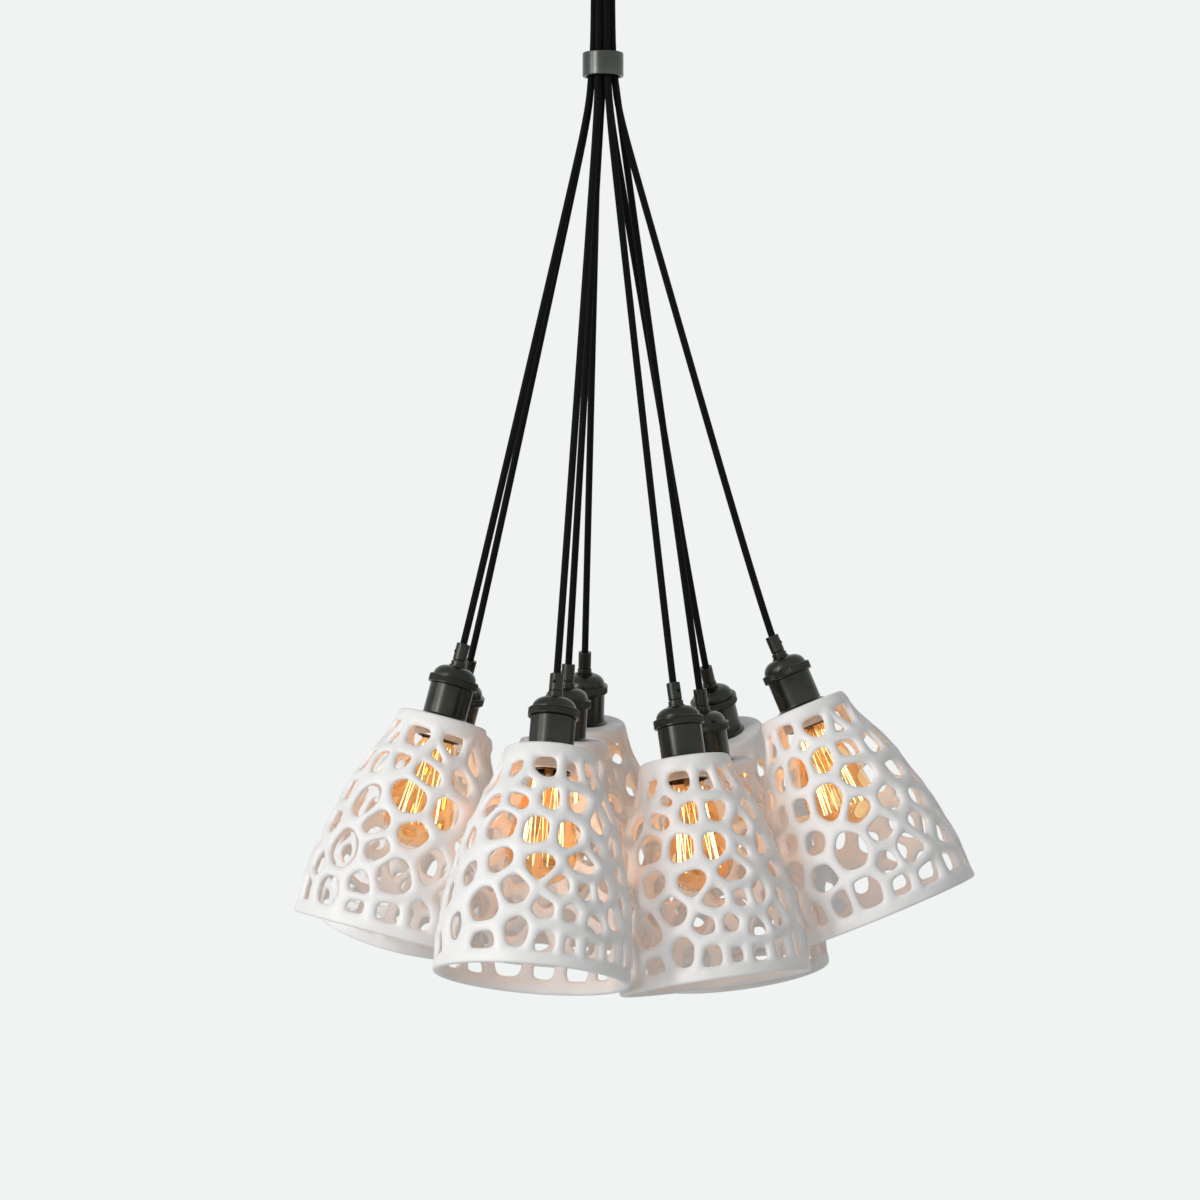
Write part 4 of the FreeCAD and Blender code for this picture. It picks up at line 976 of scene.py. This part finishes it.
def filamentTree():
    # a line bent up and down between two rings, then given a round section
    tree, sockets, given = nodeTree("filamentCage", ["Legs"], (
        "Top Depth", "Length", "Top Radius", "Bottom Radius", "Wire Radius"))
    calculate = sumsOf(tree)
    line = addNode(tree, "GeometryNodeMeshLine", {"Count": given["Legs"]})
    index = addNode(tree, "GeometryNodeInputIndex", {}).outputs["Index"]
    low = calculate("MODULO", index, 2)
    angle = calculate("MULTIPLY", calculate("DIVIDE", index, given["Legs"]), tau)
    widening = calculate("SUBTRACT", given["Bottom Radius"], given["Top Radius"])
    radius = calculate("ADD", given["Top Radius"], calculate("MULTIPLY", low, widening))
    depth = calculate("ADD", given["Top Depth"], calculate("MULTIPLY", low, given["Length"]))
    bent = addNode(tree, "GeometryNodeSetPosition", {
        "Geometry": line.outputs[0], "Position": ringPlace(tree, radius, angle, depth)})
    curve = addNode(tree, "GeometryNodeMeshToCurve", {0: bent.outputs[0]})
    section = addNode(tree, "GeometryNodeCurvePrimitiveCircle", {"Resolution": 8, "Radius": given["Wire Radius"]})
    wire = addNode(tree, "GeometryNodeCurveToMesh", {
        "Curve": curve.outputs[0], "Profile Curve": section.outputs[0], "Fill Caps": True})
    finishTree(tree, wire.outputs[0], given["Material"])
    return tree, sockets


filamentMaster = grownMesh(*filamentTree(), {
    "Legs": bulb.legs, "Top Depth": (bulb.baseEnd + bulb.filamentStart) * mm, "Length": bulb.filamentLength * mm,
    "Top Radius": bulb.crown * mm, "Bottom Radius": bulb.cage * mm, "Wire Radius": bulb.wire * mm,
    "Material": tungsten})
filamentMaster.shade_smooth()
print("bulb made")


def setPiece(name, master, matrix, body, slot, replaced=(), materials=()):
    mesh = master.copy()
    mesh.transform(matrix)
    piece = meshObject(name, mesh, materials)
    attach(piece, body)
    if replaced:
        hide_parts(*replaced)
    return piece


# each lamp's pieces: name, mesh, body, slot, the node it replaces and its materials
lampPieces = (
    ("turned_grip_", gripMesh(), "lamp_", "gunmetal", "cord_grip_", [gunmetal, blackScrew]),
    ("lampholder_", holderMesh(), "lamp_", "gunmetal", "socket_", [gunmetal, zincSteel, phenolic, brass]),
    ("cap_knurl_", knurlMesh(holder.bandRadius, holder.domeEnd, holder.bandEnd, gunmetal), "lamp_", "gunmetal",
     "", []),
    ("ring_knurl_", knurlMesh(holder.ringRadius, holder.ringTop, holder.ringEnd, zincSteel), "lamp_", "zinc_steel",
     "", []),
    ("pierced_bell_", bellMaster, "lamp_", "white_ceramic", "shade_", [porcelain]),
    ("screw_base_", baseMesh(), "bulb_", "bulb_metal", "bulb_base_", [nickelShell, phenolic, stemGlass]),
    ("filament_", filamentMaster, "bulb_", "bulb_metal", "", []),
    ("amber_envelope_", envelopeMesh(), "bulb_", "amber_glass", "bulb_glass_", [lampGlass]))
for name, lamp in lamps.items():
    for piece, master, body, slot, replaced, materials in lampPieces:
        at = lampMatrix(lamp)
        if master is bellMaster:
            at = lampMatrix(lamp, lamp.facing - lamp.bearing) @ Matrix.Translation(down(cluster.shadeDepth * mm))
        made = setPiece(piece + name, master, at, body + name, slot, [replaced + name] if replaced else [], materials)
        made.visible_shadow = slot != "amber_glass"
print("lamps placed")

# Gather collar, canopy, outlet, screws and wire caps
top = Sizes(collarTop=102, collarEnd=124, collarRadius=19, collarBore=15.8, lipRadius=13.7, lipEnd=106,
            canopyRadius=65, canopyDepth=28, canopyWall=1.2, canopyEdge=14, canopyFlat=53, tailRadius=16.5,
            flangeRadius=24, flangeEnd=32, neckRadius=18, neckEnd=46, tailTop=19, bushingBore=12.24, nutRadius=22,
            nutTop=22.8, nutEnd=26.8, threadGap=0.1, screwPlace=45, screwRadius=1.9, screwTop=1.0, headRadius=4.2,
            headEnd=31.4, crossWidth=0.45, crossReach=2.2, crossDepth=1.2, capPlace=31, capRadius=6, capTip=3.4,
            capTop=9.8, capEnd=26.8, ribs=12, ribShare=0.05)


def collarMesh():
    t = top
    outline = [(t.lipRadius, t.collarTop), (t.collarRadius, t.collarTop), (t.collarRadius, t.collarEnd),
               (t.collarBore, t.collarEnd), (t.collarBore, t.lipEnd), (t.lipRadius, t.lipEnd)]
    return turnedMesh((outline, 0.9, 3, 96, 0))


def canopyMesh():
    t = top
    bore, inside, floor = t.tailRadius + t.threadGap, t.canopyRadius - t.canopyWall, t.canopyDepth - t.canopyWall
    outer, inner = ([(t.canopyFlat + (radius - t.canopyFlat) * sine, t.canopyEdge + (depth - t.canopyEdge) * cosine)
                     for sine, cosine in quarterTurns(12)]
                    for radius, depth in ((t.canopyRadius, t.canopyDepth), (inside, floor)))
    outline = [(bore, t.canopyDepth), *outer, (t.canopyRadius, 0.0), (inside, 0.0), *inner[::-1], (bore, floor)]
    return turnedMesh((outline, 0.0, 2, 128, 0))


def outletMesh():
    t = top
    bushing = [(t.bushingBore, t.tailTop), (t.tailRadius, t.tailTop), (t.tailRadius, t.canopyDepth),
               (t.flangeRadius, t.canopyDepth), (t.flangeRadius, t.flangeEnd), (t.neckRadius, t.flangeEnd),
               (t.neckRadius, t.neckEnd), (t.bushingBore, t.neckEnd)]
    nut = boxOutline(t.tailRadius + t.threadGap, t.nutRadius, t.nutTop, t.nutEnd)
    bm = bmesh.new()
    _, made = addParts(bm, ((bushing, 1.0, 3, 96, 0), (nut, 0.4, 2, 96, 1)))
    # the locknut's outside gets six flats
    flat = t.nutRadius * mm * math.cos(math.pi / 6)
    for vertex in {vertex for face in made for vertex in face.verts}:
        turn = (math.atan2(vertex.co.y, vertex.co.x) + math.pi / 6) % (math.pi / 3) - math.pi / 6
        vertex.co.xy *= min(1, flat / math.cos(turn) / vertex.co.xy.length)
    return meshFrom(bm, 35)


def screwMesh():
    # pan head with a cross recess, its shank reaching up through the bar
    t = top
    outline = [(0.0, t.headEnd), (t.headRadius * 0.55, t.headEnd - 0.15), (t.headRadius * 0.88, t.headEnd - 0.9),
               (t.headRadius, t.headEnd - 2.2), (t.headRadius, t.canopyDepth), (t.screwRadius, t.canopyDepth),
               (t.screwRadius, t.screwTop + 0.6), (t.screwRadius - 0.5, t.screwTop), (0.0, t.screwTop)]
    bm = bmesh.new()
    addParts(bm, ((outline, 0.3, 2, 48, 0),))
    for vertex in bm.verts:
        narrow, wide = sorted((abs(vertex.co.x), abs(vertex.co.y)))
        if vertex.co.z < -(t.headEnd - 1.0) * mm and narrow < t.crossWidth * mm and wide < t.crossReach * mm:
            vertex.co.z += t.crossDepth * mm
    return meshFrom(bm, 35)


def wireCapMesh():
    # twist-on connector: a moulded cone with a dozen grip ribs
    t = top
    outline = [(0.0, t.capTop), (t.capTip, t.capTop), (t.capRadius - 0.4, t.capEnd - 4), (t.capRadius, t.capEnd - 3.4),
               (t.capRadius, t.capEnd), (t.capRadius - 1.2, t.capEnd), (0.0, t.capEnd - 0.01)]
    bm = bmesh.new()
    addParts(bm, ((outline, 0.6, 3, 72, 0),))
    for vertex in bm.verts:
        if t.capTop + 1 < -vertex.co.z / mm < t.capEnd - 4.2:
            angle = math.atan2(vertex.co.y, vertex.co.x)
            vertex.co.xy *= 1 + t.ribShare * (0.5 + 0.5 * math.cos(t.ribs * angle)) - t.ribShare
    return meshFrom(bm, 45)


# the collar wears the paler gunmetal copy: a painted highlight on the same plated steel as the rest
setPiece("cord_collar", collarMesh(), Matrix(), "collar", "gunmetal", ["gather_collar"], [paintedLightGunmetal])
setPiece("spun_canopy", canopyMesh(), Matrix(), "ceiling_fitting", "gunmetal", ["canopy"], [gunmetal])
setPiece("outlet_bush", outletMesh(), Matrix(), "ceiling_fitting", "gunmetal", ["cord_outlet"], [gunmetal, zincSteel])
for name, master, place, slot, replaced, material in (
        ("canopy_screw_", screwMesh(), (top.screwPlace, 0, 0), "zinc_steel", ["canopy_screws"], zincSteel),
        ("wire_cap_", wireCapMesh(), (0, top.capPlace, 0), "black_cloth", (), orangeNylon)):
    for number, side in (("1", -1), ("2", 1)):
        setPiece(name + number, master, Matrix.Translation(Vector(place) * side * mm), "ceiling_fitting", slot,
                 replaced, [material])
bar = frame["nodes"]["ceiling_bar"]
bar.data.materials.clear()
bar.data.materials.append(zincSteel)
print("ceiling fitting made")

# Camera: level, square on to the cluster, a long lens; places in metres
view = Sizes(place=(-0.0028, -2.963, -0.6084), tilt=90, lens=96, sensor=36, nearest=0.1, farthest=60)
cameraData = bpy.data.cameras.new("photographCamera")
cameraData.lens, cameraData.sensor_width = view.lens, view.sensor
cameraData.clip_start, cameraData.clip_end = view.nearest, view.farthest
cameraObject = linkedObject("photographCamera", cameraData)
cameraObject.location = view.place
cameraObject.rotation_euler = (math.radians(view.tilt), 0, 0)
scene.camera = cameraObject

# Stage, in metres and watts: pale floor far below, one pale world, tall soft lights on the left, and lit bulbs
stage = Sizes(background="#F0F3F2", floorHeight=-4.2, floorRadius=9.0, floorRoughness=0.9, floorSeen=0.9,
              worldStrength=0.35, glowPower=0.075, glowSize=0.012, glowDepth=0.128, glow="#FF8E44")
# each soft light: its place, what it points at, its width and height, its power
softLights = {"windowLight": ((-3.15, -3.05, 0.45), (0, 0, -0.1), (0.7, 2.8), 74),
              "sideLight": ((-4.1, -1.6, 0.35), (0, 0, -0.3), (0.4, 2.6), 27),
              "frontFill": ((-1.2, -3.5, -0.2), (0, 0, -0.75), (1.4, 1.6), 25)}


def mixBackground(tree, output, plain, kind, part=1.0):
    # camera, glossy and transmission rays meet the plain background tint by this part, all others the given shader
    calculate = sumsOf(tree)
    seen = addNode(tree, kind, {"Color": linearColour(stage.background), "Strength": 1.0})
    rays = addNode(tree, "ShaderNodeLightPath", {}).outputs
    share = calculate("MAXIMUM", rays["Is Camera Ray"], rays["Is Glossy Ray"])
    share = calculate("MULTIPLY", calculate("MAXIMUM", share, rays["Is Transmission Ray"]), part)
    mixed = addNode(tree, "ShaderNodeMixShader", {0: share, 1: plain.outputs[0], 2: seen.outputs[0]})
    tree.links.new(mixed.outputs[0], tree.nodes[output].inputs["Surface"])


def paleFloor():
    material, tree, shader = newMaterial("paleFloor", {
        "Base Color": linearColour(stage.background), "Roughness": stage.floorRoughness})
    mixBackground(tree, "Material Output", shader, "ShaderNodeEmission", stage.floorSeen)
    bm = bmesh.new()
    bmesh.ops.create_circle(bm, cap_ends=True, segments=96, radius=stage.floorRadius,
                            matrix=Matrix.Translation(down(-stage.floorHeight)))
    meshObject("pale_floor", meshFrom(bm), [material])


def paleWorld():
    world = scene.world = bpy.data.worlds.new("paleStudio")
    world.use_nodes = True
    lit = world.node_tree.nodes["Background"]
    lit.inputs["Color"].default_value = linearColour("#FFFFFF")
    lit.inputs["Strength"].default_value = stage.worldStrength
    mixBackground(world.node_tree, "World Output", lit, "ShaderNodeBackground")


paleFloor()
paleWorld()
for name, (place, target, size, power) in softLights.items():
    data = bpy.data.lights.new(name, "AREA")
    data.shape, data.size, data.size_y, data.energy = "RECTANGLE", *size, power
    light = linkedObject(name, data)
    light.location = place
    light.rotation_euler = (Vector(target) - Vector(place)).to_track_quat("-Z", "Y").to_euler()
    light.visible_glossy = name != "frontFill"
for name, lamp in lamps.items():
    data = bpy.data.lights.new("glow_" + name, "POINT")
    data.energy, data.shadow_soft_size = stage.glowPower, stage.glowSize
    data.color = linearColour(stage.glow)[:3]
    glow = linkedObject("glow_" + name, data)
    glow.location = lamp.grip * mm + lamp.axis * stage.glowDepth
    glow.visible_camera = glow.visible_glossy = glow.visible_transmission = False
    glow.parent = frame["bodies"]["bulb_" + name]
scene.view_settings.view_transform = "Standard"
print("stage and lights set")
